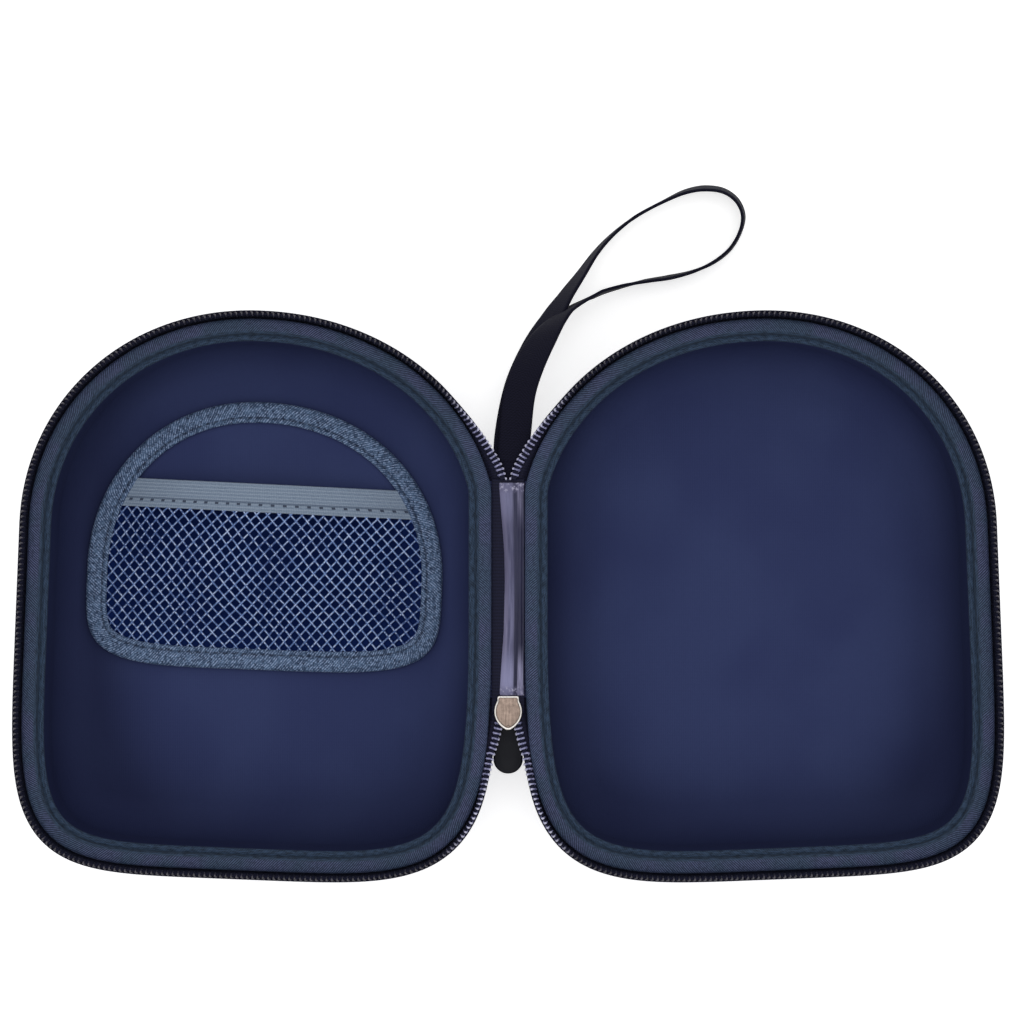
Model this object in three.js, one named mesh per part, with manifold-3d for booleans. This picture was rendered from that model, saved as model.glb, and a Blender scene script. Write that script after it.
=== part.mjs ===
// A zipped hard carrying case for headphones, lying open flat with both hollows facing up.
// Millimetres, +Z up. x = 0 is the spine's centre line, +Y points to the arched end, z = 0 is the floor.
// The base half (x < 0) carries a mesh pocket. The lid half is its mirror image without the pocket.
import * as THREE from "three";
import { mergeVertices } from "three/addons/utils/BufferGeometryUtils.js";
import Module from "manifold-3d";

// Driving dimensions
const RIM_Z = 37.5; // top of the rim binding
const SPINE_WIDTH = 11.4; // between the two halves' binding edges
const FOLD_DROP = 0.9; // depth of the two fold lines under the rim
const FOLD_Z = RIM_Z - FOLD_DROP;
const HINGE_X = SPINE_WIDTH / 2;

// Outline of the base half's rim: an arch, two sides and a squarish foot, leaning towards the spine
const RIM = {
  x: -87.2,
  y: -26.2,
  lean: THREE.MathUtils.degToRad(2.3),
  spineHalf: 81.4,
  freeHalf: 75.2,
  archY: 47,
  archRise: 72,
  archPower: 2.06,
  footY: 19,
  footDrop: 84.7,
  spineFootPower: 4.5,
  freeFootPower: 5.1,
};
const RIM_CORNER = 0.25; // how softly the outline meets the straight hinge side
const RIM_STATIONS = 48;
const BEND_WEIGHT = 26; // how much closer stations sit where the outline turns

// Moulded wall: skin, foam and lining, each inset from the one outside it
const WALL_INSET = 1.1; // from the binding's outer edge to the skin
const WALL_DRAFT = 1.4; // how far the wall leans in above the floor radius
const FLOOR_RADIUS_OUT = 13.7; // floor radius, horizontally
const FLOOR_RADIUS_UP = 18; // floor radius, vertically
const WALL_TOP = RIM_Z - 1.3;
const SKIN = [0, 0.9];
const FOAM = [1.2, 4.2];
const LINING = [4.5, 5.1];

// Rim binding: a tape folded over the wall's top edge
const BINDING_WIDTH = 7.5;
const BINDING_LEG = 0.8; // thickness of its two legs
const BINDING_TOP = 1; // thickness over the wall
const BINDING_OUTER = RIM_Z - 5; // lower edges of its legs
const BINDING_INNER = RIM_Z - 6;
const BINDING_LEAN = 0.6; // the inner leg follows the wall's draft

// Zipper: a tape that stands on the rim and the coil on its edge
const TAPE_THICKNESS = 0.6;
const TAPE_SECTION = [
  [0.3, RIM_Z - 8],
  [0.3, RIM_Z - 3],
  [1.3, RIM_Z + 1.6],
];
const COIL_INNER = 0.5; // from the binding's outer edge
const COIL_TOP = RIM_Z + 4.4;
const COIL_HEIGHT = 2.5;
const COIL_THICKNESS = 2.2;
const ZIP_TOP_Y = 47.4; // where the standing zipper stops short of the spine
const ZIP_FOOT_Y = -53.7;
const END_COIL = 2; // height of the coil where the zipper lies flat

// Spine
const SPINE_Y = [-33.1, 37.6];
const COVER_Y = [-32.6, 37.6];
const COVER_HALF = 4.5;
const COVER_CROWN = 1;
const COVER_HEM = 0.6;

// Mesh pocket on the base's floor
const POCKET = {
  x: -86.4,
  y: 6,
  lean: THREE.MathUtils.degToRad(2.2),
  right: 63.8,
  left: 57.9,
  rise: 59.7,
  risePower: 2.1,
  drop: 31.9,
  dropPower: 4.6,
};
const POCKET_FLOOR = LINING[1] + 0.4;
const POCKET_BACKING = 0.6;
const POCKET_SHEET_Z = POCKET_FLOOR + POCKET_BACKING + 0.3;
const POCKET_SHEET = 0.6;
const POCKET_BULGE = 6.5;
const POCKET_RING = 7;
const POCKET_SEWN = POCKET_RING + 0.8; // inside this line the sheet is free to stand up
const POCKET_SHEET_INSET = 1.6;
const BAND_Y = 22.6; // the elastic band's lower edge above the pocket's widest line
const BAND_HEIGHT = 9;
const BAND_SLOPE = Math.tan(THREE.MathUtils.degToRad(0.6));

// Slider and pull, parked at the foot end of the spine
const SLIDER_TOP_Y = -33.4;
const SLIDER_LENGTH = 11.3;
const SLIDER_WIDTH = 9.3;
const SLIDER_NECK = 3.6; // half-width of its square end
const SLIDER_POINT = 0.7; // half-width of its blunt point
const SLIDER_GAP = 1.3; // half of the channel between its two plates
const SLIDER_PLATE = 1.1;
const PIVOT_Y = -40.4;
const PIVOT_Z = FOLD_Z - 3.7;
const PULL_DROOP = THREE.MathUtils.degToRad(8);

// Wrist strap: centre points of the webbing and its roll about its own run, in degrees
const STRAP_WIDTH = 10.8;
const STRAP_THICKNESS = 1.1;
const STRAP_ROUTE = [
  [1.6, 44.8, 34.6, 0],
  [2.4, 54.5, 33.6, 0],
  [4.6, 70.8, 29.2, -6],
  [11.6, 86.4, 21.6, -38],
  [19.2, 95.9, 15.2, -76],
  [30.6, 102.6, 8.6, -92],
  [38.6, 105.3, 6.6, -90],
  [47.3, 107.3, 5.8, -84],
  [55.4, 108.6, 5.7, -82],
  [63.4, 110.6, 5.7, -86],
  [70.7, 113.9, 5.7, -90],
  [76.4, 118.7, 5.7, -92],
  [79.9, 125.2, 5.7, -94],
  [80.5, 130.4, 5.7, -98],
  [78.3, 135.1, 5.7, -101],
  [73.9, 138.2, 5.7, -102],
  [67.5, 139.1, 5.7, -102],
  [61.1, 138, 5.7, -99],
  [53.8, 134.8, 5.7, -94],
  [43.3, 129.1, 5.7, -92],
  [35.3, 122.7, 6, -95],
  [30, 116.9, 6.6, -99],
  [24.8, 109.4, 7.8, -106],
  [19.6, 102, 9.4, -114],
  [14.7, 94.2, 11.6, -128],
  [9.9, 84.6, 15.8, -154],
  [4, 70.2, 22.6, -174],
  [0.8, 54.5, 28.6, -180],
  [0.2, 45.3, 33, -180],
];
const STRAP_STEPS = 52;
const STRAP_ROOT_Y = [33, 44.4];

const COLOURS = {
  skin: { color: 0x1e2038, roughness: 0.8 },
  foam: { color: 0x2a2c34, roughness: 0.95 },
  lining: { color: 0x262d4b, roughness: 0.9 },
  binding: { color: 0x364254, roughness: 0.6 },
  zipper: { color: 0x14182c, roughness: 0.5 },
  satin: { color: 0x75728f, roughness: 0.35 },
  pocketTrim: { color: 0x556a82, roughness: 0.7 },
  mesh: { color: 0x5b77a8, roughness: 0.7 },
  metal: { color: 0xb0a091, roughness: 0.3, metalness: 0.9 },
  rubber: { color: 0x141618, roughness: 0.7 },
  strap: { color: 0x1c1c26, roughness: 0.8 },
};

const wasm = await Module();
wasm.setup();

// A geometry from corner points and triangles, turned inside out if its faces point inwards.
function geometryOf(points, triangles) {
  let volume = 0;
  for (const [a, b, c] of triangles) {
    volume += points[a].dot(points[b].clone().cross(points[c]));
  }
  const faces = volume < 0 ? triangles.map(([a, b, c]) => [a, c, b]) : triangles;
  const geometry = new THREE.BufferGeometry();
  geometry.setFromPoints(points);
  geometry.setIndex(faces.flat());
  return geometry;
}

// The triangles that close one planar loop of a skin.
function capTriangles(loop, first) {
  const normal = new THREE.Vector3();
  loop.forEach((p, i) => {
    const q = loop[(i + 1) % loop.length];
    normal.add(p.clone().cross(q));
  });
  normal.normalize();
  const across = Math.abs(normal.x) > 0.7 ? new THREE.Vector3(0, 1, 0) : new THREE.Vector3(1, 0, 0);
  const u = across.cross(normal).normalize();
  const v = normal.clone().cross(u);
  const flat = loop.map((p) => new THREE.Vector2(p.dot(u), p.dot(v)));
  return THREE.ShapeUtils.triangulateShape(flat, []).map((t) => t.map((k) => first + k));
}

// A solid skinned over closed loops of equal length: closed on itself, or capped at its two ends.
function skinned(loops, closed) {
  const n = loops[0].length;
  const triangles = [];
  const spans = closed ? loops.length : loops.length - 1;
  for (let i = 0; i < spans; i += 1) {
    const j = (i + 1) % loops.length;
    for (let k = 0; k < n; k += 1) {
      const m = (k + 1) % n;
      triangles.push([i * n + k, i * n + m, j * n + m]);
      triangles.push([i * n + k, j * n + m, j * n + k]);
    }
  }
  if (!closed) {
    triangles.push(...capTriangles(loops[0], 0).map(([a, b, c]) => [a, c, b]));
    triangles.push(...capTriangles(loops[loops.length - 1], (loops.length - 1) * n));
  }
  return orientedCaps(loops.flat(), triangles, closed ? 0 : 2 * (n - 2));
}

// The caps are turned, if need be, to run the same way round as the sides.
function orientedCaps(points, triangles, capCount) {
  const sides = triangles.slice(0, triangles.length - capCount);
  const edgesOf = ([a, b, c]) => [`${a},${b}`, `${b},${c}`, `${c},${a}`];
  const edges = new Set(sides.flatMap(edgesOf));
  const half = triangles.length - capCount / 2;
  const turned = [
    [triangles.length - capCount, half],
    [half, triangles.length],
  ].flatMap(([from, to]) => {
    const cap = triangles.slice(from, to);
    const clash = cap.flatMap(edgesOf).some((edge) => edges.has(edge));
    return clash ? cap.map(([a, b, c]) => [a, c, b]) : cap;
  });
  return geometryOf(points, [...sides, ...turned]);
}

// A closed geometry as a solid that can be joined to another.
function solidOf(geometry) {
  const bare = geometry.clone();
  bare.deleteAttribute("normal");
  bare.deleteAttribute("uv");
  const merged = mergeVertices(bare, 1e-4);
  return new wasm.Manifold(
    new wasm.Mesh({
      numProp: 3,
      vertProperties: new Float32Array(merged.attributes.position.array),
      triVerts: new Uint32Array(merged.index.array),
    }),
  );
}

function joined(...geometries) {
  const solid = geometries.map(solidOf).reduce((a, b) => a.add(b));
  const mesh = solid.getMesh();
  const geometry = new THREE.BufferGeometry();
  geometry.setAttribute("position", new THREE.BufferAttribute(new Float32Array(mesh.vertProperties), 3));
  geometry.setIndex(new THREE.BufferAttribute(new Uint32Array(mesh.triVerts), 1));
  return geometry;
}

// A box between two corners.
function block([x0, y0, z0], [x1, y1, z1]) {
  const box = new THREE.BoxGeometry(x1 - x0, y1 - y0, z1 - z0);
  return box.translate((x0 + x1) / 2, (y0 + y1) / 2, (z0 + z1) / 2);
}

// One quarter of a superellipse: half-widths a and b, from angle 0 on the x side to 90 degrees on the y side.
function quarter(a, b, power, steps = 60) {
  const points = [];
  for (let i = 0; i <= steps; i += 1) {
    const t = (i / steps) * (Math.PI / 2);
    points.push([a * Math.cos(t) ** (2 / power), b * Math.sin(t) ** (2 / power)]);
  }
  return points;
}

// Two halves of different widths, an arched top and a squarer foot, anticlockwise from the middle of the foot.
function dShape(shape) {
  const { right, left, top, foot } = shape;
  const footRight = quarter(right, foot.drop, foot.rightPower).reverse();
  const footLeft = quarter(left, foot.drop, foot.leftPower);
  const arch = quarter(1, top.rise, top.power);
  return [
    ...footRight.map(([x, y]) => [x, foot.y - y]),
    ...arch.map(([x, y]) => [x * right, top.y + y]),
    ...arch.map(([x, y]) => [-x * left, top.y + y]).reverse(),
    ...footLeft.map(([x, y]) => [-x, foot.y - y]),
  ];
}

// The points turned clockwise by lean and moved to x, y.
function placed(points, x, y, lean) {
  const c = Math.cos(lean);
  const s = Math.sin(lean);
  return points.map(([px, py]) => [x + px * c + py * s, y - px * s + py * c]);
}

// A closed outline as evenly spaced points with outward normals, starting at its rightmost side nearest startY.
function evenLoop(points, startY, count = 900) {
  const curve = new THREE.CatmullRomCurve3(
    points.filter((p, i) => i === 0 || Math.hypot(p[0] - points[i - 1][0], p[1] - points[i - 1][1]) > 0.05)
      .map(([x, y]) => new THREE.Vector3(x, y, 0)),
    true,
    "centripetal",
  );
  curve.arcLengthDivisions = 4000;
  const even = curve.getSpacedPoints(count).slice(0, count);
  const right = Math.max(...even.map((p) => p.x));
  let start = 0;
  let best = Infinity;
  even.forEach((p, i) => {
    const miss = Math.abs(p.y - startY) + (right - p.x > 12 ? 1e6 : 0);
    if (miss < best) {
      best = miss;
      start = i;
    }
  });
  const ordered = [...even.slice(start), ...even.slice(0, start)];
  return ordered.map((p, i) => {
    const before = ordered[(i + count - 2) % count];
    const after = ordered[(i + 2) % count];
    const run = Math.hypot(after.x - before.x, after.y - before.y);
    return { x: p.x, y: p.y, nx: (after.y - before.y) / run, ny: (before.x - after.x) / run };
  });
}

// Stations picked from a loop between two of its points, closer together where it bends.
function stations(loop, from, to, count, closed) {
  const cumulative = [0];
  for (let i = from; i < to; i += 1) {
    const a = loop[i % loop.length];
    const b = loop[(i + 1) % loop.length];
    const turn = Math.acos(Math.min(1, a.nx * b.nx + a.ny * b.ny));
    cumulative.push(cumulative[i - from] + Math.hypot(b.x - a.x, b.y - a.y) + BEND_WEIGHT * turn);
  }
  const total = cumulative[cumulative.length - 1];
  const picked = [];
  for (let k = 0; k < count; k += 1) {
    const want = (total * k) / (closed ? count : count - 1);
    const i = cumulative.findIndex((c) => c >= want - 1e-9);
    picked.push(loop[(from + Math.max(i, 0)) % loop.length]);
  }
  return picked;
}

// Base rim
const leaning = placed(
  dShape({
    right: RIM.spineHalf,
    left: RIM.freeHalf,
    top: { y: RIM.archY, rise: RIM.archRise, power: RIM.archPower },
    foot: { y: RIM.footY, drop: RIM.footDrop, rightPower: RIM.spineFootPower, leftPower: RIM.freeFootPower },
  }),
  RIM.x,
  RIM.y,
  RIM.lean,
);

// The outline is cut off by the straight hinge side, with a soft corner where it meets it.
function cutByHinge(x) {
  const clear = -HINGE_X - x;
  return clear > RIM_CORNER * 30 ? x : -HINGE_X - RIM_CORNER * Math.log(1 + Math.exp(clear / RIM_CORNER));
}

const RIM_LOOP = evenLoop(leaning.map(([x, y]) => [cutByHinge(x), y]), 0);
const rimRing = stations(RIM_LOOP, 0, RIM_LOOP.length, RIM_STATIONS, true);

// The rim's stations moved out by offset, at height z.
function ringAt(ring, offset, z) {
  return ring.map((s) => new THREE.Vector3(s.x + s.nx * offset, s.y + s.ny * offset, z));
}

// One face of the moulded wall, from rim to floor, at a given depth under the skin's outer face.
function wallFace(depth) {
  const top = -WALL_INSET - depth;
  const centre = -WALL_INSET - WALL_DRAFT - FLOOR_RADIUS_OUT;
  const loops = [ringAt(rimRing, top, WALL_TOP)];
  for (const degrees of [0, 30, 60, 90]) {
    const a = THREE.MathUtils.degToRad(degrees);
    const offset = centre + (FLOOR_RADIUS_OUT - depth) * Math.cos(a);
    const z = FLOOR_RADIUS_UP - (FLOOR_RADIUS_UP - depth) * Math.sin(a);
    loops.push(ringAt(rimRing, offset, z));
  }
  return loops;
}

// One bowl-shaped layer of the wall.
function bowl([outer, inner]) {
  return skinned([...wallFace(outer).reverse(), ...wallFace(inner)], false);
}

// A strip whose cross-section is given as offsets from the outline and heights.
function strip(ring, section, closed) {
  const loops = ring.map((s) =>
    section.map(([offset, z]) => new THREE.Vector3(s.x + s.nx * offset, s.y + s.ny * offset, z)),
  );
  return skinned(loops, closed);
}

function rimBinding() {
  const inner = -BINDING_WIDTH;
  return strip(
    rimRing,
    [
      [0, BINDING_OUTER],
      [0, RIM_Z],
      [inner, RIM_Z],
      [inner - BINDING_LEAN, BINDING_INNER],
      [inner - BINDING_LEAN + BINDING_LEG, BINDING_INNER],
      [inner + BINDING_LEG, RIM_Z - BINDING_TOP],
      [-BINDING_LEG, RIM_Z - BINDING_TOP],
      [-BINDING_LEG, BINDING_OUTER],
    ],
    true,
  );
}

// The standing zipper runs round the free side, from the arch's spine end to the foot's spine end.
const zipFrom = RIM_LOOP.findIndex((s) => s.y > ZIP_TOP_Y);
const zipTo = RIM_LOOP.length - 1 - [...RIM_LOOP].reverse().findIndex((s) => s.y < ZIP_FOOT_Y);
const zipRun = stations(RIM_LOOP, zipFrom, zipTo, RIM_STATIONS - 4, false);

function zipperTape() {
  const back = TAPE_SECTION.map(([offset, z]) => [offset + TAPE_THICKNESS, z]).reverse();
  return strip(zipRun, [...TAPE_SECTION, ...back], false);
}

function zipperCoil() {
  const outer = COIL_INNER + COIL_THICKNESS;
  const low = COIL_TOP - COIL_HEIGHT;
  return strip(
    zipRun,
    [
      [COIL_INNER, low],
      [outer, low],
      [outer, COIL_TOP],
      [COIL_INNER, COIL_TOP],
    ],
    false,
  );
}

// The zipper's last stretch beside the spine lies flat: tape from the rim towards the centre, coil on its edge.
function zipperEnd(tips) {
  const tape = TAPE_THICKNESS / 2;
  const coil = END_COIL / 2;
  const loops = tips.map(([y, tip]) => {
    const beside = RIM_LOOP.filter((s) => s.x > -30 && Math.abs(s.y - y) < 1);
    const edge = beside.reduce((best, s) => (Math.abs(s.y - y) < Math.abs(best.y - y) ? s : best));
    const root = edge.x + 0.5;
    const seam = Math.max(tip - COIL_THICKNESS, root + 0.2);
    return [
      [root, -tape],
      [seam, -tape],
      [seam, -coil],
      [tip, -coil],
      [tip, coil],
      [seam, coil],
      [seam, tape],
      [root, tape],
    ].map(([x, z]) => new THREE.Vector3(x, y, FOLD_Z + z));
  });
  return skinned(loops, false);
}

// How far the coil's tips reach, as y and x, at each end of the spine
const FOOT_TIPS = [
  [-33.4, -0.2],
  [-37.5, -0.2],
  [-40, -0.9],
  [-42.4, -1.6],
  [-45, -2.1],
  [-50, -3.4],
  [-53.3, -4.4],
];
const TOP_TIPS = [
  [37.9, -0.3],
  [41, -1.3],
  [44.4, -3],
  [46.9, -4.4],
];

// Pocket
const pocketOutline = placed(
  dShape({
    right: POCKET.right,
    left: POCKET.left,
    top: { y: 0, rise: POCKET.rise, power: POCKET.risePower },
    foot: { y: 0, drop: POCKET.drop, rightPower: POCKET.dropPower, leftPower: POCKET.dropPower },
  }),
  POCKET.x,
  POCKET.y,
  POCKET.lean,
);
const POCKET_LOOP = evenLoop(pocketOutline, POCKET.y);
const pocketRing = stations(POCKET_LOOP, 0, POCKET_LOOP.length, 36, true);

// The pocket's width at height y on one side of its middle, inset from its outline, in the pocket's own frame.
function pocketReach(y, inset, side) {
  const widest = side < 0 ? POCKET.left : POCKET.right;
  const [reach, power] = y > 0 ? [POCKET.rise, POCKET.risePower] : [POCKET.drop, POCKET.dropPower];
  const height = Math.min(1, Math.abs(y) / (reach - inset));
  return (widest - inset) * (1 - height ** power) ** (1 / power);
}

// How far the slack sheet stands up, from 0 at the sewn edge to 1 in the middle of its mouth.
function slack(x, y) {
  const sewnReach = Math.max(pocketReach(y, POCKET_SEWN, x), 0.1);
  const sewnFoot = -POCKET.drop + POCKET_SEWN;
  const across = Math.max(0, 1 - (x / sewnReach) ** 2);
  const along = THREE.MathUtils.clamp((y - sewnFoot) / (BAND_Y - sewnFoot), 0, 1);
  return across * Math.sin((along * Math.PI) / 2);
}

// A thin sheet over the rows y, sewn down under the pocket's edge binding.
function pocketSheet(rows) {
  const columns = [-1, -0.72, -0.4, -0.13, 0.13, 0.4, 0.72, 1];
  const top = [];
  const bottom = [];
  for (const y of rows) {
    const edge = (side) => pocketReach(y, POCKET_SHEET_INSET, side);
    const sewn = (side) => Math.max(pocketReach(y, POCKET_SEWN, side), 0.8 * edge(side));
    const xs = [-edge(-1), ...columns.map((c) => c * sewn(c)), edge(1)];
    const tilt = BAND_SLOPE * THREE.MathUtils.clamp((y + POCKET.drop) / (BAND_Y + POCKET.drop), 0, 1);
    const flat = xs.map((x) => [x, y - tilt * x]);
    const line = placed(flat, POCKET.x, POCKET.y, POCKET.lean);
    const heights = xs.map((x) => POCKET_SHEET_Z + POCKET_BULGE * slack(x, y));
    bottom.push(line.map(([x, py], i) => new THREE.Vector3(x, py, heights[i])));
    top.push(line.map(([x, py], i) => new THREE.Vector3(x, py, heights[i] + POCKET_SHEET)));
  }
  const loops = rows.map((y, r) => [...bottom[r], ...[...top[r]].reverse()]);
  return stripSheet(loops);
}

// A sheet skinned from row loops, with its two end rows closed by quads between the two faces.
function stripSheet(loops) {
  const n = loops[0].length;
  const triangles = [];
  for (let i = 0; i < loops.length - 1; i += 1) {
    for (let k = 0; k < n; k += 1) {
      const m = (k + 1) % n;
      triangles.push([i * n + k, i * n + m, (i + 1) * n + m]);
      triangles.push([i * n + k, (i + 1) * n + m, (i + 1) * n + k]);
    }
  }
  const last = (loops.length - 1) * n;
  for (let k = 0; k < n / 2 - 1; k += 1) {
    triangles.push([k, n - 1 - k, n - 2 - k]);
    triangles.push([k, n - 2 - k, k + 1]);
    triangles.push([last + k, last + n - 2 - k, last + n - 1 - k]);
    triangles.push([last + k, last + k + 1, last + n - 2 - k]);
  }
  return geometryOf(loops.flat(), triangles);
}

function pocketMesh() {
  const foot = [20, 40, 60, 78].map((degrees) => {
    const t = THREE.MathUtils.degToRad(degrees);
    return -(POCKET.drop - POCKET_SHEET_INSET) * Math.sin(t) ** (2 / POCKET.dropPower);
  });
  return pocketSheet([BAND_Y, 12, 0, ...foot]);
}

function pocketBand() {
  const low = BAND_Y + 0.3;
  return pocketSheet([low + BAND_HEIGHT, low + BAND_HEIGHT / 2, low]);
}

function pocketBacking() {
  return skinned(
    [ringAt(pocketRing, -1.2, POCKET_FLOOR), ringAt(pocketRing, -1.2, POCKET_FLOOR + POCKET_BACKING)],
    false,
  );
}

function pocketBinding() {
  const under = POCKET_SHEET_Z + POCKET_SHEET + 0.3;
  return strip(
    pocketRing,
    [
      [0, POCKET_FLOOR],
      [0, under + 0.6],
      [-0.6, under + 1],
      [-POCKET_RING, under + 1],
      [-POCKET_RING, under],
      [-0.8, under],
      [-0.8, POCKET_FLOOR],
    ],
    true,
  );
}

// Spine: a flat outer fabric and a slightly crowned satin cover over it
function spineCover() {
  const [foot, top] = COVER_Y;
  const rows = [
    [foot, COVER_HEM],
    [foot + 3, COVER_CROWN],
    [top - 3, COVER_CROWN],
    [top, COVER_HEM],
  ];
  const loops = rows.map(([y, crown]) =>
    [
      [-COVER_HALF, 0],
      [COVER_HALF, 0],
      [COVER_HALF, 0.5],
      [COVER_HALF * 0.5, crown],
      [-COVER_HALF * 0.5, crown],
      [-COVER_HALF, 0.5],
    ].map(([x, z]) => new THREE.Vector3(x, y, FOLD_Z + z)),
  );
  return skinned(loops, false);
}

// A plan shape extruded between two heights.
function plate(shape, z0, z1) {
  const geometry = new THREE.ExtrudeGeometry(shape, { depth: z1 - z0, bevelEnabled: false, curveSegments: 5 });
  return geometry.translate(0, 0, z0);
}

// The slider's plate: a narrow square end towards the spine, shoulders, and a blunt point.
function sliderShape() {
  const wide = SLIDER_WIDTH / 2;
  const shoulder = SLIDER_TOP_Y - 5.4;
  const point = SLIDER_TOP_Y - SLIDER_LENGTH;
  const shape = new THREE.Shape();
  shape.moveTo(-SLIDER_NECK, SLIDER_TOP_Y);
  shape.lineTo(-SLIDER_NECK, SLIDER_TOP_Y - 1.6);
  shape.quadraticCurveTo(-wide, shoulder + 2, -wide, shoulder);
  shape.quadraticCurveTo(-wide + 0.25, shoulder - 3.8, -SLIDER_POINT, point);
  shape.lineTo(SLIDER_POINT, point);
  shape.quadraticCurveTo(wide - 0.25, shoulder - 3.8, wide, shoulder);
  shape.quadraticCurveTo(wide, shoulder + 2, SLIDER_NECK, SLIDER_TOP_Y - 1.6);
  shape.lineTo(SLIDER_NECK, SLIDER_TOP_Y);
  return shape;
}

// Two plates and the wedge between them that parts the two rows of coil.
function sliderBody() {
  const wedge = new THREE.Shape();
  wedge.moveTo(0, SLIDER_TOP_Y - 6);
  wedge.lineTo(-1, SLIDER_TOP_Y - 9);
  wedge.lineTo(-0.5, SLIDER_TOP_Y - 10.8);
  wedge.lineTo(0.5, SLIDER_TOP_Y - 10.8);
  wedge.lineTo(1, SLIDER_TOP_Y - 9);
  const inner = SLIDER_GAP;
  const outer = SLIDER_GAP + SLIDER_PLATE;
  return joined(
    plate(sliderShape(), FOLD_Z + inner, FOLD_Z + outer),
    plate(sliderShape(), FOLD_Z - outer, FOLD_Z - inner),
    plate(wedge, FOLD_Z - inner - 0.2, FOLD_Z + inner + 0.2),
  );
}

const BRIDGE_HALF = 1.3;
const BRIDGE_BAR = 1;

// An arch under the slider that the pull's link turns in.
function sliderBridge() {
  const top = FOLD_Z - SLIDER_GAP - SLIDER_PLATE - 0.3;
  const low = PIVOT_Z - 1.7;
  const front = PIVOT_Y - 2.3;
  const back = PIVOT_Y + 3.6;
  return joined(
    block([-BRIDGE_HALF, back - BRIDGE_BAR, low], [BRIDGE_HALF, back, top]),
    block([-BRIDGE_HALF, front, low], [BRIDGE_HALF, front + BRIDGE_BAR, top]),
    block([-BRIDGE_HALF, front, low], [BRIDGE_HALF, back, low + BRIDGE_BAR - 0.2]),
  );
}

// Pull, drawn about its pivot: the link's cross bar turns in the bridge, its arms end in the grip.
const LINK_HALF = 3.2;
const LINK_BAR = 0.55; // half of the wire's thickness
const GRIP_FROM = 5.9;
const GRIP_TO = 19.6;
const GRIP_HALF = 4.95;
const GRIP_THICKNESS = 2.6;

function pullLink() {
  const foot = -GRIP_FROM + 0.3;
  const inside = LINK_HALF - 1.2;
  return joined(
    block([-LINK_HALF, -LINK_BAR, -LINK_BAR], [LINK_HALF, LINK_BAR, LINK_BAR]),
    block([-LINK_HALF, foot, -LINK_BAR], [-inside, LINK_BAR, LINK_BAR]),
    block([inside, foot, -LINK_BAR], [LINK_HALF, LINK_BAR, LINK_BAR]),
    block([-LINK_HALF, foot, -LINK_BAR], [LINK_HALF, foot + 1, LINK_BAR]),
  );
}

function pullGrip() {
  const shape = new THREE.Shape();
  shape.moveTo(GRIP_HALF - 1.4, -GRIP_FROM);
  shape.lineTo(GRIP_HALF, -GRIP_FROM - 2.6);
  shape.absarc(0, -GRIP_TO + GRIP_HALF, GRIP_HALF, 0, -Math.PI, true);
  shape.lineTo(-GRIP_HALF, -GRIP_FROM - 2.6);
  shape.lineTo(-GRIP_HALF + 1.4, -GRIP_FROM);
  return plate(shape, -GRIP_THICKNESS / 2, GRIP_THICKNESS / 2);
}

// Webbing swept along its route, rolled about its own run.
function wristStrap() {
  const route = STRAP_ROUTE.map(([x, y, z]) => new THREE.Vector3(x, y, z));
  const curve = new THREE.CatmullRomCurve3(route, false, "centripetal");
  const up = new THREE.Vector3(0, 0, 1);
  // Corners as shares of the webbing's width and thickness
  const section = [
    [-0.5, -0.25],
    [-0.46, -0.5],
    [0.46, -0.5],
    [0.5, -0.25],
    [0.5, 0.25],
    [0.46, 0.5],
    [-0.46, 0.5],
    [-0.5, 0.25],
  ];
  const loops = [];
  for (let i = 0; i <= STRAP_STEPS; i += 1) {
    const t = i / STRAP_STEPS;
    const centre = curve.getPoint(t);
    const run = curve.getTangent(t);
    const level = up.clone().cross(run).normalize();
    const rise = run.clone().cross(level);
    const place = t * (STRAP_ROUTE.length - 1);
    const k = Math.min(Math.floor(place), STRAP_ROUTE.length - 2);
    const roll = THREE.MathUtils.lerp(STRAP_ROUTE[k][3], STRAP_ROUTE[k + 1][3], place - k);
    const angle = THREE.MathUtils.degToRad(roll);
    const width = level.clone().multiplyScalar(Math.cos(angle)).addScaledVector(rise, Math.sin(angle));
    const face = run.clone().cross(width);
    loops.push(
      section.map(([w, f]) =>
        centre.clone().addScaledVector(width, w * STRAP_WIDTH).addScaledVector(face, f * STRAP_THICKNESS),
      ),
    );
  }
  return skinned(loops, false);
}

function mesh(name, geometry, colour) {
  const made = new THREE.Mesh(geometry, new THREE.MeshStandardMaterial(COLOURS[colour]));
  made.name = name;
  return made;
}

// One half of the case: wall layers, rim binding and zipper.
function half(prefix) {
  const group = new THREE.Group();
  group.add(
    mesh(`${prefix}_outer_skin`, bowl(SKIN), "skin"),
    mesh(`${prefix}_foam_shell`, bowl(FOAM), "foam"),
    mesh(`${prefix}_lining`, bowl(LINING), "lining"),
    mesh(`${prefix}_rim_binding`, rimBinding(), "binding"),
    mesh(`${prefix}_zipper_tape`, zipperTape(), "zipper"),
    mesh(`${prefix}_zipper_coil`, zipperCoil(), "zipper"),
  );
  return group;
}

const base = half("base");
base.add(
  mesh("pocket_backing", pocketBacking(), "lining"),
  mesh("pocket_mesh", pocketMesh(), "mesh"),
  mesh("pocket_elastic_band", pocketBand(), "pocketTrim"),
  mesh("pocket_edge_binding", pocketBinding(), "pocketTrim"),
);

const lid = half("lid");
lid.scale.x = -1;

// The zipper's flat ends lie in pairs beside the spine.
function zipperEnds(side) {
  const group = new THREE.Group();
  group.add(
    mesh(`zipper_foot_end_${side}_side`, zipperEnd(FOOT_TIPS), "zipper"),
    mesh(`zipper_top_end_${side}_side`, zipperEnd(TOP_TIPS), "zipper"),
  );
  return group;
}

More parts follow.
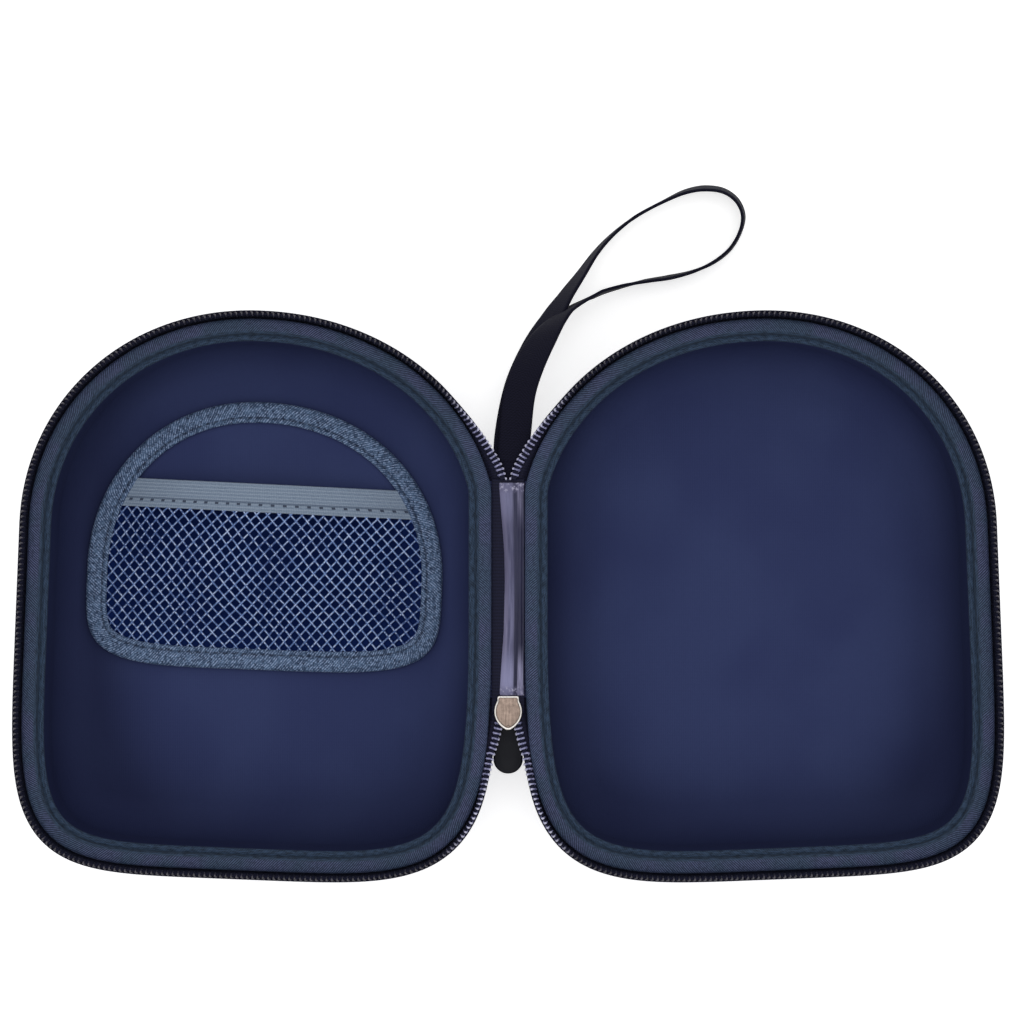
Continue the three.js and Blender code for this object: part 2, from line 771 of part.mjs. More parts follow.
const lidEnds = zipperEnds("lid");
lidEnds.scale.x = -1;

function spineFabric() {
  const edge = HINGE_X - 0.3;
  return block([-edge, SPINE_Y[0], FOLD_Z - 1.3], [edge, SPINE_Y[1], FOLD_Z - 0.3]);
}

function strapRoot() {
  const [centre] = STRAP_ROUTE[STRAP_ROUTE.length - 1];
  const side = STRAP_WIDTH / 2;
  return block([centre - side, STRAP_ROOT_Y[0], FOLD_Z - 4.2], [centre + side, STRAP_ROOT_Y[1], FOLD_Z - 1.6]);
}

const spine = new THREE.Group();
spine.add(
  mesh("spine_outer_fabric", spineFabric(), "skin"),
  mesh("spine_inner_cover", spineCover(), "satin"),
  mesh("strap_root", strapRoot(), "strap"),
  mesh("wrist_strap", wristStrap(), "strap"),
  zipperEnds("base"),
  lidEnds,
);

const slider = new THREE.Group();
slider.add(mesh("slider_body", sliderBody(), "metal"), mesh("slider_bridge", sliderBridge(), "metal"));

const pull = new THREE.Group();
pull.add(mesh("pull_link", pullLink(), "metal"), mesh("pull_grip", pullGrip(), "rubber"));
pull.position.set(0, PIVOT_Y, PIVOT_Z);
pull.rotation.x = PULL_DROOP;

const carryingCase = new THREE.Group();
carryingCase.add(base, lid, spine, slider, pull);

export default carryingCase;
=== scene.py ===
"""A zipped hard carrying case for headphones, lying open with both hollows up.

Lengths are in millimetres until mesh_object() turns them into metres. The base half (x < 0) holds a
mesh pocket, and the lid half (x > 0) is its mirror image without one. The spine lies on x = 0.
"""
import math

import bmesh
import bpy
import numpy as np
from mathutils import Matrix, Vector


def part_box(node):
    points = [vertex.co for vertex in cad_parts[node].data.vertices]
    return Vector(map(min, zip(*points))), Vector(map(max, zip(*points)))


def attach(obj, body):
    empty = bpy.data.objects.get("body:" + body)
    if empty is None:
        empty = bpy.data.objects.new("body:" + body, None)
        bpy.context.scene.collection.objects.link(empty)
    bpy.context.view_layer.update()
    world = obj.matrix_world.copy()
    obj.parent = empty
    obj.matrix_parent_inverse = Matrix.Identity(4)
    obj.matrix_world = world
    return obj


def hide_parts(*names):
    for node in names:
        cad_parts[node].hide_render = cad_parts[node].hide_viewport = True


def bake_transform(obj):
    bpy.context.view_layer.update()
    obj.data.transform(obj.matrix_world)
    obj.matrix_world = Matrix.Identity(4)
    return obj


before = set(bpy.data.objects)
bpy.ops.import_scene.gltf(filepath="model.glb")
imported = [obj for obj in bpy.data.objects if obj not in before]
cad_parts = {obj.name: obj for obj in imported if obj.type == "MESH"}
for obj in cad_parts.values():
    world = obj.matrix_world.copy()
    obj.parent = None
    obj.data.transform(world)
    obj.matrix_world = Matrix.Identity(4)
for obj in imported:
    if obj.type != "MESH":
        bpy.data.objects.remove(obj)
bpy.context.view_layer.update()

MM = 0.001

# ---- dimensions shared with the CAD model, in millimetres and degrees

RIM_Z = 37.5
FOLD_Z = 36.6  # the zipper row's height beside the spine
HINGE_X = 5.7
RIM_PLACE = (-87.2, -26.2, 2.3)  # x, y and lean
RIM_SHAPE = dict(right=81.4, left=75.2, arch_y=47, rise=72, arch_power=2.06, foot_y=19, drop=84.7,
                 right_power=4.5, left_power=5.1)
RIM_CORNER = 0.25  # rounding where the outline meets the spine
WALL_INSET = 1.1
WALL_DRAFT = 1.4
FLOOR_OUT = 13.7  # width and height of the bend between wall and floor
FLOOR_UP = 18
WALL_TOP = 36.2
FOAM_DEPTH = 4.2
LINING = (4.5, 5.1)  # its faces' depths under the skin
CORNER_PADDING = 4.5
POCKET = dict(x=-86.4, y=6, lean=2.2, right=63.8, left=57.9, rise=59.7, rise_power=2.1,
              drop=31.9, drop_power=4.6)
POCKET_FLOOR = 5.5
SHEET_Z = 6.4
SHEET = 0.6
BULGE = 6.5  # how far the pocket's mouth stands open
SEWN = 7.8  # from the pocket's outline in to its free net
BAND_Y = 22.6
BAND_SLOPE = math.tan(math.radians(0.6))
SLIDER_TOP_Y = -33.4
PIVOT = (0, -40.4, 32.9)
PULL_DROOP = 8
# How the zipper's tips leave the spine: (y, x) at its foot and at its top
FOOT_TIPS = ((-33.4, -0.2), (-37.5, -0.2), (-40, -0.9), (-42.4, -1.6), (-45, -2.1), (-50, -3.4),
             (-53.3, -4.4))
TOP_TIPS = ((37.9, -0.3), (41, -1.3), (44.4, -3), (46.9, -4.4))
COIL_PITCH = 1.77
STRAP_WIDTH = 10.8
STRAP_THICKNESS = 1.1
STRAP_ROUTE = (  # x, y, z and roll
    (1.6, 44.8, 34.6, 0), (2.4, 54.5, 33.6, 0), (4.6, 70.8, 29.2, -6), (11.6, 86.4, 21.6, -38),
    (19.2, 95.9, 15.2, -76), (30.6, 102.6, 8.6, -92), (38.6, 105.3, 6.6, -90), (47.3, 107.3, 5.8, -84),
    (55.4, 108.6, 5.7, -82), (63.4, 110.6, 5.7, -86), (70.7, 113.9, 5.7, -90), (76.4, 118.7, 5.7, -92),
    (79.9, 125.2, 5.7, -94), (80.5, 130.4, 5.7, -98), (78.3, 135.1, 5.7, -101), (73.9, 138.2, 5.7, -102),
    (67.5, 139.1, 5.7, -102), (61.1, 138, 5.7, -99), (53.8, 134.8, 5.7, -94), (43.3, 129.1, 5.7, -92),
    (35.3, 122.7, 6, -95), (30, 116.9, 6.6, -99), (24.8, 109.4, 7.8, -106), (19.6, 102, 9.4, -114),
    (14.7, 94.2, 11.6, -128), (9.9, 84.6, 15.8, -154), (4, 70.2, 22.6, -174), (0.8, 54.5, 28.6, -180),
    (0.2, 45.3, 33, -180),
)


# ---- mesh helpers

def mesh_object(name, points, faces, uvs=None, mirrored=False):
    """A mesh from points in millimetres, its faces turned outwards.

    uvs holds one (u, v) for each corner of each face, in face order.
    """
    points = np.array(points, float)
    if mirrored:
        points[:, 0] *= -1
    mesh = bpy.data.meshes.new(name)
    mesh.from_pydata((points * MM).tolist(), [], faces)
    if uvs is not None:
        mesh.uv_layers.new(name="run").data.foreach_set("uv", np.asarray(uvs, np.float32).ravel())
    mesh.polygons.foreach_set("use_smooth", [True] * len(mesh.polygons))
    body = bmesh.new()
    body.from_mesh(mesh)
    if body.calc_volume(signed=True) < 0:
        mesh.flip_normals()
    body.free()
    mesh.update()
    made = bpy.data.objects.new(name, mesh)
    bpy.context.scene.collection.objects.link(made)
    return made


def tube_corners(rows, columns, closed=False):
    """The corners of each face between rings of points, as (ring, point), where the last may be one too many.

    Closed, the last ring joins the first. Otherwise the first and the last are capped.
    """
    corners = [[(r, c), (r + 1, c), (r + 1, c + 1), (r, c + 1)]
               for r in range(rows if closed else rows - 1) for c in range(columns)]
    if not closed:
        corners += [[(0, c) for c in range(columns)], [(rows - 1, c) for c in range(columns)][::-1]]
    return corners


def tube(name, rings, u, v, closed=False, mirrored=False):
    """A solid over rings of points. u is each ring's place and v each point's on its ring, both in mm."""
    rings = np.asarray(rings, float)
    rows, columns = rings.shape[:2]
    corners = tube_corners(rows, columns, closed)
    faces = [[r % rows * columns + c % columns for r, c in face] for face in corners]
    uvs = [(u[r], v[c]) for face in corners for r, c in face]
    return mesh_object(name, rings.reshape(-1, 3), faces, uvs, mirrored)


def rings_about(line, way_a, way_b, a, b):
    """Rings around the points of line: a and b say how far each of their points lies along the two ways."""
    return line[:, None] + way_a[:, None] * a[..., None] + way_b[:, None] * b[..., None]


def around(count):
    """count angles, evenly around a circle."""
    return np.linspace(0, 2 * math.pi, count, endpoint=False)


def squared(wave, power):
    """A sine or cosine that is pressed towards -1 and 1."""
    return np.sign(wave) * np.abs(wave) ** power


def slab(top, thickness):
    """Rings around a sheet: each row of top, and back again on a copy of it that lies thickness below."""
    return np.concatenate([top, (top - (0, 0, thickness))[:, ::-1]], 1)


def both_faces(v):
    """The places v on a sheet's upper face, and then back on its lower one."""
    return np.concatenate([v, v[::-1], v[:1]])


def bezier(a, b, c, t):
    """A curve from a to c that bends towards b."""
    t = t[:, None]
    return (1 - t) ** 2 * np.array(a) + 2 * t * (1 - t) * np.array(b) + t ** 2 * np.array(c)


def hump(at, middle, width):
    return np.exp(-((at - middle) / width) ** 2)


def node_box(node):
    """The low and high corners of a CAD node, in millimetres."""
    return (np.array(corner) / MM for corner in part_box(node))


def arc_length(points):
    return np.append(0, np.cumsum(np.linalg.norm(np.diff(points, axis=0), axis=1)))


def unit(vectors):
    return vectors / np.maximum(np.linalg.norm(vectors, axis=-1, keepdims=True), 1e-9)


def smoothstep(x, low, high):
    t = np.clip((np.asarray(x, float) - low) / (high - low), 0, 1)
    return t * t * (3 - 2 * t)


def wander(count, scale, closed=False, seed=0):
    """Smooth noise along a run of count places, about -1 to 1, with features about scale places long."""
    own = np.random.default_rng(seed)
    knots = max(4, int(round(count / scale)))
    values = own.uniform(-1, 1, knots)
    values = np.append(values, values[0] if closed else own.uniform(-1, 1))
    place = np.linspace(0, knots, count, endpoint=not closed)
    k = np.minimum(place.astype(int), knots - 1)
    t = smoothstep(place - k, 0, 1)
    return values[k] * (1 - t) + values[k + 1] * t


def quarter(a, b, power):
    """A quarter of a superellipse, from (a, 0) to (0, b)."""
    t = np.linspace(0, math.pi / 2, 401)
    return np.stack([a * np.cos(t) ** (2 / power), b * np.sin(t) ** (2 / power)], -1)


def d_shape(right, left, arch_y, rise, arch_power, foot_y, drop, right_power, left_power):
    """Halves of two widths, arched above and squarer below, anticlockwise from the foot's middle."""
    arch = quarter(1, rise, arch_power)
    return np.concatenate([
        quarter(right, drop, right_power)[::-1] * (1, -1) + (0, foot_y),
        arch * (right, 1) + (0, arch_y),
        arch[::-1] * (-left, 1) + (0, arch_y),
        quarter(left, drop, left_power) * (-1, -1) + (0, foot_y),
    ])


def placed(points, x, y, lean):
    """Points turned clockwise by lean degrees and moved to x, y."""
    c, s = math.cos(math.radians(lean)), math.sin(math.radians(lean))
    return np.stack([x + points[:, 0] * c + points[:, 1] * s, y - points[:, 0] * s + points[:, 1] * c], -1)


class Loop:
    """A closed outline at even steps: places, outward normals and the run along it, anticlockwise."""

    FINER = 8  # the outline is worked out at this many times as many places as it keeps
    LOOK = 12  # fine places to each side that a normal is taken from
    START_BAND = 12  # the outline starts at start_y, this near its right-hand edge

    def __init__(self, points, start_y, count):
        points = points[np.append(True, np.linalg.norm(np.diff(points, axis=0), axis=1) > 1e-3)]
        ring = np.vstack([points, points[:1]])
        run = arc_length(ring)
        fine = np.linspace(0, run[-1], self.FINER * count, endpoint=False)
        xy = np.stack([np.interp(fine, run, ring[:, k]) for k in (0, 1)], -1)
        near = np.abs(xy[:, 1] - start_y) + np.where(xy[:, 0].max() - xy[:, 0] > self.START_BAND, 1e6, 0)
        xy = np.roll(xy, -int(near.argmin()), axis=0)
        ahead = np.roll(xy, -self.LOOK, axis=0) - np.roll(xy, self.LOOK, axis=0)
        normal = unit(np.stack([ahead[:, 1], -ahead[:, 0]], -1))
        self.xy = xy[::self.FINER]
        self.normal = normal[::self.FINER]
        self.length = float(run[-1])
        self.run = np.linspace(0, self.length, count + 1)

    def at(self, offset, z):
        """The outline moved out by offset and lifted to z. Either may differ from place to place."""
        offset, z = (np.broadcast_to(np.asarray(part, float), len(self.xy)) for part in (offset, z))
        return np.column_stack([self.xy + self.normal * offset[:, None], z])


def rim_loop(count):
    points = placed(d_shape(**RIM_SHAPE), *RIM_PLACE)
    clear = -HINGE_X - points[:, 0]
    soft = -HINGE_X - RIM_CORNER * np.log1p(np.exp(np.clip(clear / RIM_CORNER, -40, 30)))
    points[:, 0] = np.where(clear > RIM_CORNER * 30, points[:, 0], soft)
    return Loop(points, 0, count)


def pocket_loop(count):
    p = POCKET
    shape = d_shape(p["right"], p["left"], 0, p["rise"], p["rise_power"], 0, p["drop"],
                    p["drop_power"], p["drop_power"])
    return Loop(placed(shape, p["x"], p["y"], p["lean"]), p["y"], count)


def curve_points(route, count):
    """count points on a centripetal Catmull-Rom curve through route, an even number in each of its spans."""
    p = np.asarray(route, float)
    p = np.vstack([2 * p[0] - p[1], p, 2 * p[-1] - p[-2]])
    place = np.linspace(0, len(route) - 1, count)
    k = np.minimum(place.astype(int), len(route) - 2)
    t = (place - k)[:, None]
    p0, p1, p2, p3 = p[k], p[k + 1], p[k + 2], p[k + 3]
    d0, d1, d2 = (np.sqrt(np.linalg.norm((b - a)[:, :3], axis=1))[:, None]
                  for a, b in ((p0, p1), (p1, p2), (p2, p3)))
    m1 = ((p1 - p0) / d0 - (p2 - p0) / (d0 + d1) + (p2 - p1) / d1) * d1
    m2 = ((p2 - p1) / d1 - (p3 - p1) / (d1 + d2) + (p3 - p2) / d2) * d1
    return ((2 * t**3 - 3 * t**2 + 1) * p1 + (t**3 - 2 * t**2 + t) * m1
            + (3 * t**2 - 2 * t**3) * p2 + (t**3 - t**2) * m2)


# ---- materials

def rgb(r, g, b):
    """A colour as 0 to 255 on screen, made linear."""
    linear = [c / 3294.6 if c <= 10.31 else ((c / 255 + 0.055) / 1.055) ** 2.4 for c in (r, g, b)]
    return (*linear, 1)


SHEEN_TINT = (0.4, 0.45, 0.7, 1)
WEAVE_PITCH = 1.25
TAPE_STITCH = 3.2  # from stitch to stitch where a tape is sewn down
BINDING_STITCH = 2.9
# Where the lining's painted shade towards the walls is centred, and how far it reaches
HOLLOW_MIDDLE = (78.0, 5.0)  # of each half's hollow, before HOLLOW_SHIFT
HOLLOW_REACH = (66.0, 84.0)
HOLLOW_SHIFT = 6.0  # out in the lid, and in towards the spine in the base
LINING_COLORS = (rgb(47, 55, 93), rgb(52, 61, 99), rgb(43, 50, 86))


class Shader:
    """A material built node by node."""

    def __init__(self, name):
        self.material = bpy.data.materials.new(name)
        self.material.use_nodes = True
        self.tree = self.material.node_tree
        self.tree.nodes.clear()

    def node(self, kind, settings=(), **inputs):
        made = self.tree.nodes.new("ShaderNode" + kind)
        for key, value in dict(settings).items():
            setattr(made, key, value)
        for key, value in inputs.items():
            self.put(made.inputs[key.replace("_", " ")], value)
        return made

    def put(self, socket, value):
        if isinstance(value, bpy.types.NodeSocket):
            self.tree.links.new(value, socket)
        else:
            socket.default_value = value

    def math(self, operation, a, b=0.0):
        made = self.node("Math", {"operation": operation})
        self.put(made.inputs[0], a)
        self.put(made.inputs[1], b)
        return made.outputs[0]

    def times(self, a, b):
        return self.math("MULTIPLY", a, b)

    def plus(self, a, b):
        return self.math("ADD", a, b)

    def minus(self, a, b):
        return self.math("SUBTRACT", a, b)

    def size(self, value):
        return self.math("ABSOLUTE", value)

    def between(self, value, start, full, fading, end):
        """A stripe: 1 from full to fading, and 0 before start and after end."""
        return self.times(self.ramp(value, start, full), self.ramp(value, fading, end, 1.0, 0.0))

    def tint(self, color, share, red, green, blue):
        """color under a share of one that is given as 0 to 255 on screen."""
        return self.mix(share, color, rgb(red, green, blue))

    def mix(self, share, a, b):
        made = self.node("Mix", {"data_type": "RGBA"})
        for k, value in ((0, share), (6, a), (7, b)):
            self.put(made.inputs[k], value)
        return made.outputs[2]

    def ramp(self, value, low, high, to_low=0.0, to_high=1.0):
        return self.node("MapRange", {"interpolation_type": "SMOOTHSTEP"}, Value=value,
                         From_Min=low, From_Max=high, To_Min=to_low, To_Max=to_high).outputs[0]

    def split(self, vector):
        return self.node("SeparateXYZ", Vector=vector).outputs[:3]

    def run(self):
        """(u, v) of the mesh's own run, in millimetres."""
        return self.split(self.node("UVMap", {"uv_map": "run"}).outputs[0])[:2]

    def place(self):
        """The object's own coordinates, in millimetres."""
        at = self.node("TexCoord").outputs["Object"]
        return self.node("VectorMath", {"operation": "SCALE"}, Vector=at, Scale=1000.0).outputs[0]

    def noise(self, vector, scale, detail=3.0, roughness=0.5):
        made = self.node("TexNoise", Vector=vector, Scale=scale, Detail=detail, Roughness=roughness)
        return made.outputs[0]

    def vector(self, x, y, z=0.0):
        return self.node("CombineXYZ", X=x, Y=y, Z=z).outputs[0]

    def wave(self, value, period):
        """A sine of value, from 0 to 1, that repeats every period."""
        sine = self.math("SINE", self.times(value, 2 * math.pi / period))
        return self.plus(self.times(sine, 0.5), 0.5)

    def bump(self, height, depth, strength=1.0, under=None):
        """depth is the height's full range, in millimetres."""
        made = self.node("Bump", Strength=strength, Distance=depth * MM, Height=height)
        if under is not None:
            self.put(made.inputs["Normal"], under)
        return made.outputs[0]

    def finish(self, color, roughness, normal=None, **more):
        more = {"Specular_IOR_Level": 0.2, **more}
        if "Sheen_Weight" in more:
            more["Sheen_Tint"] = SHEEN_TINT
        shader = self.node("BsdfPrincipled", Base_Color=color, Roughness=roughness, **more)
        if normal is not None:
            self.put(shader.inputs["Normal"], normal)
        output = self.node("OutputMaterial")
        self.tree.links.new(shader.outputs[0], output.inputs[0])
        return self.material


def weave(s, u, v, pitch):
    """A plain weave's height: threads along u and along v that pass over each other."""
    across = s.wave(u, pitch)
    along = s.wave(v, pitch)
    over = s.wave(s.plus(u, v), 2 * pitch)
    return s.plus(s.times(across, over), s.times(along, s.minus(1.0, over)))


def outer_fabric():
    """A weave that follows the wall's own run, and lies square to the case on the flat faces."""
    s = Shader("outer_fabric")
    at = s.place()
    x, y, z = s.split(at)
    u, v = s.run()
    flat, upright = (weave(s, *pair, WEAVE_PITCH) for pair in ((x, y), (u, v)))
    height = s.plus(flat, s.times(s.ramp(z, 4.5, 6.5), s.minus(upright, flat)))
    slub = s.noise(at, 0.35, 4.0, 0.65)
    color = s.mix(s.ramp(s.noise(at, 0.05), 0.3, 0.7), rgb(24, 27, 52), rgb(31, 35, 64))
    color = s.tint(color, s.times(s.ramp(slub, 0.38, 0.62), 0.5), 17, 19, 38)
    color = s.tint(color, s.ramp(height, 0.35, 1.1, 0.0, 0.8), 56, 61, 100)
    height = s.plus(height, s.times(slub, 0.6))
    return s.finish(color, 0.75, s.bump(height, 0.2, 0.9), Sheen_Weight=0.1, Sheen_Roughness=0.5,
                    Specular_IOR_Level=0.15)


def lining_fabric(shaded=False):
    """Brushed jersey. Shaded, it is the part that lies behind the pocket's net, with painted shade of the net
    below the band.
    """
    s = Shader("pocket_back_jersey" if shaded else "lining_jersey")
    at = s.place()
    x, y, z = s.split(at)
    stitch = s.times(s.wave(x, 0.62), s.wave(s.plus(y, s.times(z, 0.6)), 0.5))
    cloudy = s.noise(at, 0.022, 2.0)
    fine = s.noise(at, 0.9, 3.0, 0.6)
    color = s.mix(s.ramp(cloudy, 0.35, 0.65), LINING_COLORS[0], LINING_COLORS[1])
    color = s.mix(s.times(fine, 0.35), color, LINING_COLORS[2])
    # Painted shade: darker towards the walls and into the corners
    middle = s.plus(s.times(s.math("SIGN", x), HOLLOW_SHIFT), HOLLOW_MIDDLE[0])
    across = s.math("DIVIDE", s.minus(s.size(x), middle), HOLLOW_REACH[0])
    along = s.math("DIVIDE", s.minus(y, HOLLOW_MIDDLE[1]), HOLLOW_REACH[1])
    edge = s.plus(s.math("POWER", s.size(across), 3.5), s.math("POWER", s.size(along), 3.5))
    color = s.tint(color, s.ramp(edge, 0.15, 1.25, 0.0, 0.55), 16, 18, 40)
    if shaded:
        # Painted shade of the net on the backing, below the elastic band
        lowered = s.plus(y, s.times(s.minus(x, POCKET["x"]), math.tan(math.radians(2.8))))
        color = s.tint(color, s.ramp(lowered, BAND_Y + 5, BAND_Y + 9, 0.9, 0.0), 2, 25, 76)
    ripple = s.bump(s.noise(at, 0.03), 1.0, 0.25)
    height = s.plus(stitch, s.times(fine, 0.6))
    return s.finish(color, 0.85, s.bump(height, 0.05, 0.6, ripple), Specular_IOR_Level=0.08)


def binding_tape():
    """Twill tape: u runs along it, v crosses it from the outer edge, in millimetres."""
    s = Shader("binding_tape")
    u, v = s.run()
    at = s.vector(u, v)
    bend = s.times(s.noise(at, 0.1, 2.0), 1.8)
    rib = s.wave(s.plus(s.minus(u, s.times(v, 0.9)), bend), 0.85)
    rib = s.times(s.ramp(rib, 0.35, 0.95), s.ramp(s.noise(at, 0.9, 2.0), 0.3, 0.6, 0.35, 1.0))
    streak = s.noise(s.vector(s.times(u, 0.35), s.times(v, 2.2)), 1.1, 3.0, 0.6)
    inner = s.ramp(v, 3.5, 4.4)
    patch = s.ramp(s.noise(at, 0.07, 3.0), 0.35, 0.65)
    between_ribs = s.mix(patch, rgb(25, 37, 58), rgb(30, 37, 62))
    outer_color = s.mix(rib, between_ribs, s.mix(patch, rgb(72, 92, 118), rgb(86, 94, 130)))
    inner_color = s.mix(s.ramp(streak, 0.35, 0.65), rgb(14, 27, 44), rgb(42, 60, 84))
    inner_color = s.tint(inner_color, s.times(rib, 0.3), 72, 88, 108)
    color = s.mix(inner, outer_color, inner_color)
    groove = s.between(v, 4.6, 5.1, 5.2, 5.8)
    color = s.tint(color, s.times(groove, 0.6), 16, 26, 38)
    # Painted shade on the tape's inner lip, where it turns down into the hollow
    color = s.tint(color, s.ramp(v, 7.3, 8.0), 18, 24, 38)
    height = s.plus(s.times(rib, s.ramp(v, 3.5, 4.4, 1.0, 0.35)), s.times(streak, 0.5))
    return s.finish(color, s.ramp(v, 3.5, 6.0, 0.55, 0.75), s.bump(height, 0.14, 0.8),
                    Sheen_Weight=0.12, Sheen_Roughness=0.4)


def pocket_trim():
    s = Shader("pocket_trim")
    u, v = s.run()
    at = s.vector(u, v)
    bend = s.times(s.noise(at, 0.15, 2.0), 2.0)
    twill = s.ramp(s.wave(s.plus(s.minus(u, s.times(v, 0.8)), bend), 1.0), 0.3, 0.95)
    fleck = s.noise(at, 0.9, 3.0, 0.7)
    height = s.plus(s.times(twill, 0.6), s.times(fleck, 0.5))
    mottle = s.ramp(s.noise(at, 0.45, 4.0, 0.7), 0.38, 0.62)
    color = s.mix(mottle, rgb(42, 62, 90), rgb(78, 102, 133))
    # Light flecks on the twill: partly the yarn's own flecks, partly a painted highlight
    color = s.tint(color, s.times(twill, s.ramp(fleck, 0.42, 0.6, 0.1, 0.8)), 154, 170, 204)
    color = s.tint(color, s.ramp(s.noise(at, 1.1, 2.0), 0.56, 0.66, 0.0, 0.8), 16, 30, 56)
    seam = s.times(s.between(v, 5.0, 5.3, 5.6, 5.9), s.ramp(s.wave(u, TAPE_STITCH), 0.35, 0.75, 0.45, 1.0))
    color = s.tint(color, s.times(seam, 0.75), 16, 28, 50)
    return s.finish(color, 0.66, s.bump(height, 0.16, 0.8), Sheen_Weight=0.12, Sheen_Roughness=0.4)


def elastic():
    """Ribbed elastic: u along the band, v from its lower edge."""
    s = Shader("elastic_band")
    u, v = s.run()
    ribs = s.ramp(s.wave(v, 1.15), 0.2, 0.9)
    grain = s.noise(s.vector(s.times(u, 1.6), s.times(v, 3.0)), 0.9, 3.0, 0.65)
    weft = s.wave(s.plus(u, s.times(grain, 0.6)), 0.8)
    stitch = s.times(s.ramp(s.wave(u, 4.0), 0.7, 0.86), s.between(v, 2.0, 2.3, 2.8, 3.1))
    seam = s.between(v, 2.9, 3.2, 3.3, 3.8)
    color = s.mix(s.ramp(grain, 0.3, 0.7), rgb(100, 116, 138), rgb(130, 146, 164))
    color = s.tint(color, s.times(ribs, 0.42), 158, 170, 188)
    color = s.tint(color, s.times(weft, 0.25), 84, 98, 122)
    color = s.tint(color, s.times(seam, 0.45), 60, 72, 96)
    color = s.tint(color, s.times(stitch, 0.85), 24, 32, 56)
    height = s.plus(s.times(ribs, 0.7), s.times(grain, 0.4))
    height = s.minus(height, s.times(s.plus(stitch, seam), 0.6))
    return s.finish(color, 0.6, s.bump(height, 0.2, 0.9), Sheen_Weight=0.1)


def mesh_thread():
    """Glossy yarn, painted lighter on its crest and darker on its flanks by the way its surface faces, with
    painted glints.
    """
    s = Shader("mesh_thread")
    at = s.place()
    # Painted highlight on the crest and painted shade on the flanks, from the way the surface faces
    painted_crest_light = s.ramp(s.split(s.node("TexCoord").outputs["Normal"])[2], 0.7, 0.98)
    patch = s.ramp(s.noise(at, 0.04, 3.0), 0.38, 0.62)
    fine = s.noise(at, 1.1, 3.0, 0.6)
    color = s.mix(patch, rgb(58, 88, 143), rgb(105, 135, 188))
    # Painted glints on the yarn
    color = s.tint(color, s.ramp(fine, 0.46, 0.62), 172, 188, 220)
    color = s.tint(color, s.ramp(fine, 0.3, 0.46, 0.7, 0.0), 30, 48, 96)
    color = s.mix(painted_crest_light, rgb(26, 46, 98), color)
    return s.finish(color, 0.42, s.bump(fine, 0.1, 0.6), Specular_IOR_Level=0.4)


def zipper_cloth(sewn=False):
    """Ribbed tape: u along it, v from its lower edge. Sewn, it shows the seam that holds it to the shell."""
    s = Shader("sewn_zipper_tape" if sewn else "zipper_cloth")
    u, v = s.run()
    ribs = s.wave(u, 1.1)
    height = s.plus(s.times(ribs, 0.6), s.times(s.wave(v, 0.7), 0.4))
    color = s.mix(s.times(height, 0.7), rgb(9, 9, 28), rgb(25, 27, 54))
    if sewn:
        seam = s.between(v, 1.4, 1.6, 2.2, 2.4)
        stitch = s.times(seam, s.ramp(s.wave(u, TAPE_STITCH), 0.3, 0.45))
        color = s.tint(color, s.times(stitch, 0.8), 66, 70, 108)
        height = s.plus(height, s.times(s.minus(stitch, seam), 0.8))
    return s.finish(color, 0.75, s.bump(height, 0.15, 0.8), Sheen_Weight=0.05)


def coil_plastic():
    """Lighter near the spine and darker further from it: painted light and shade, with painted glints on the
    loops' heads near the spine.
    """
    s = Shader("coil_plastic")
    at = s.place()
    fine = s.ramp(s.noise(at, 1.3, 2.0), 0.35, 0.65)
    # Painted glints on the heads of the loops
    at_tip = s.ramp(s.wave(s.plus(s.run()[0], COIL_PITCH / 4), COIL_PITCH), 0.75, 1.0, 0.0, 0.75)
    bright = s.mix(at_tip, s.mix(fine, rgb(84, 86, 124), rgb(150, 150, 186)), rgb(204, 204, 226))
    shaded_coil = s.mix(fine, rgb(18, 17, 30), rgb(58, 54, 66))
    # Painted light near the spine and painted shade further out
    color = s.mix(s.ramp(s.size(s.split(at)[0]), 11.0, 24.0), bright, shaded_coil)
    return s.finish(color, 0.28, s.bump(fine, 0.03, 0.4), Specular_IOR_Level=0.7)


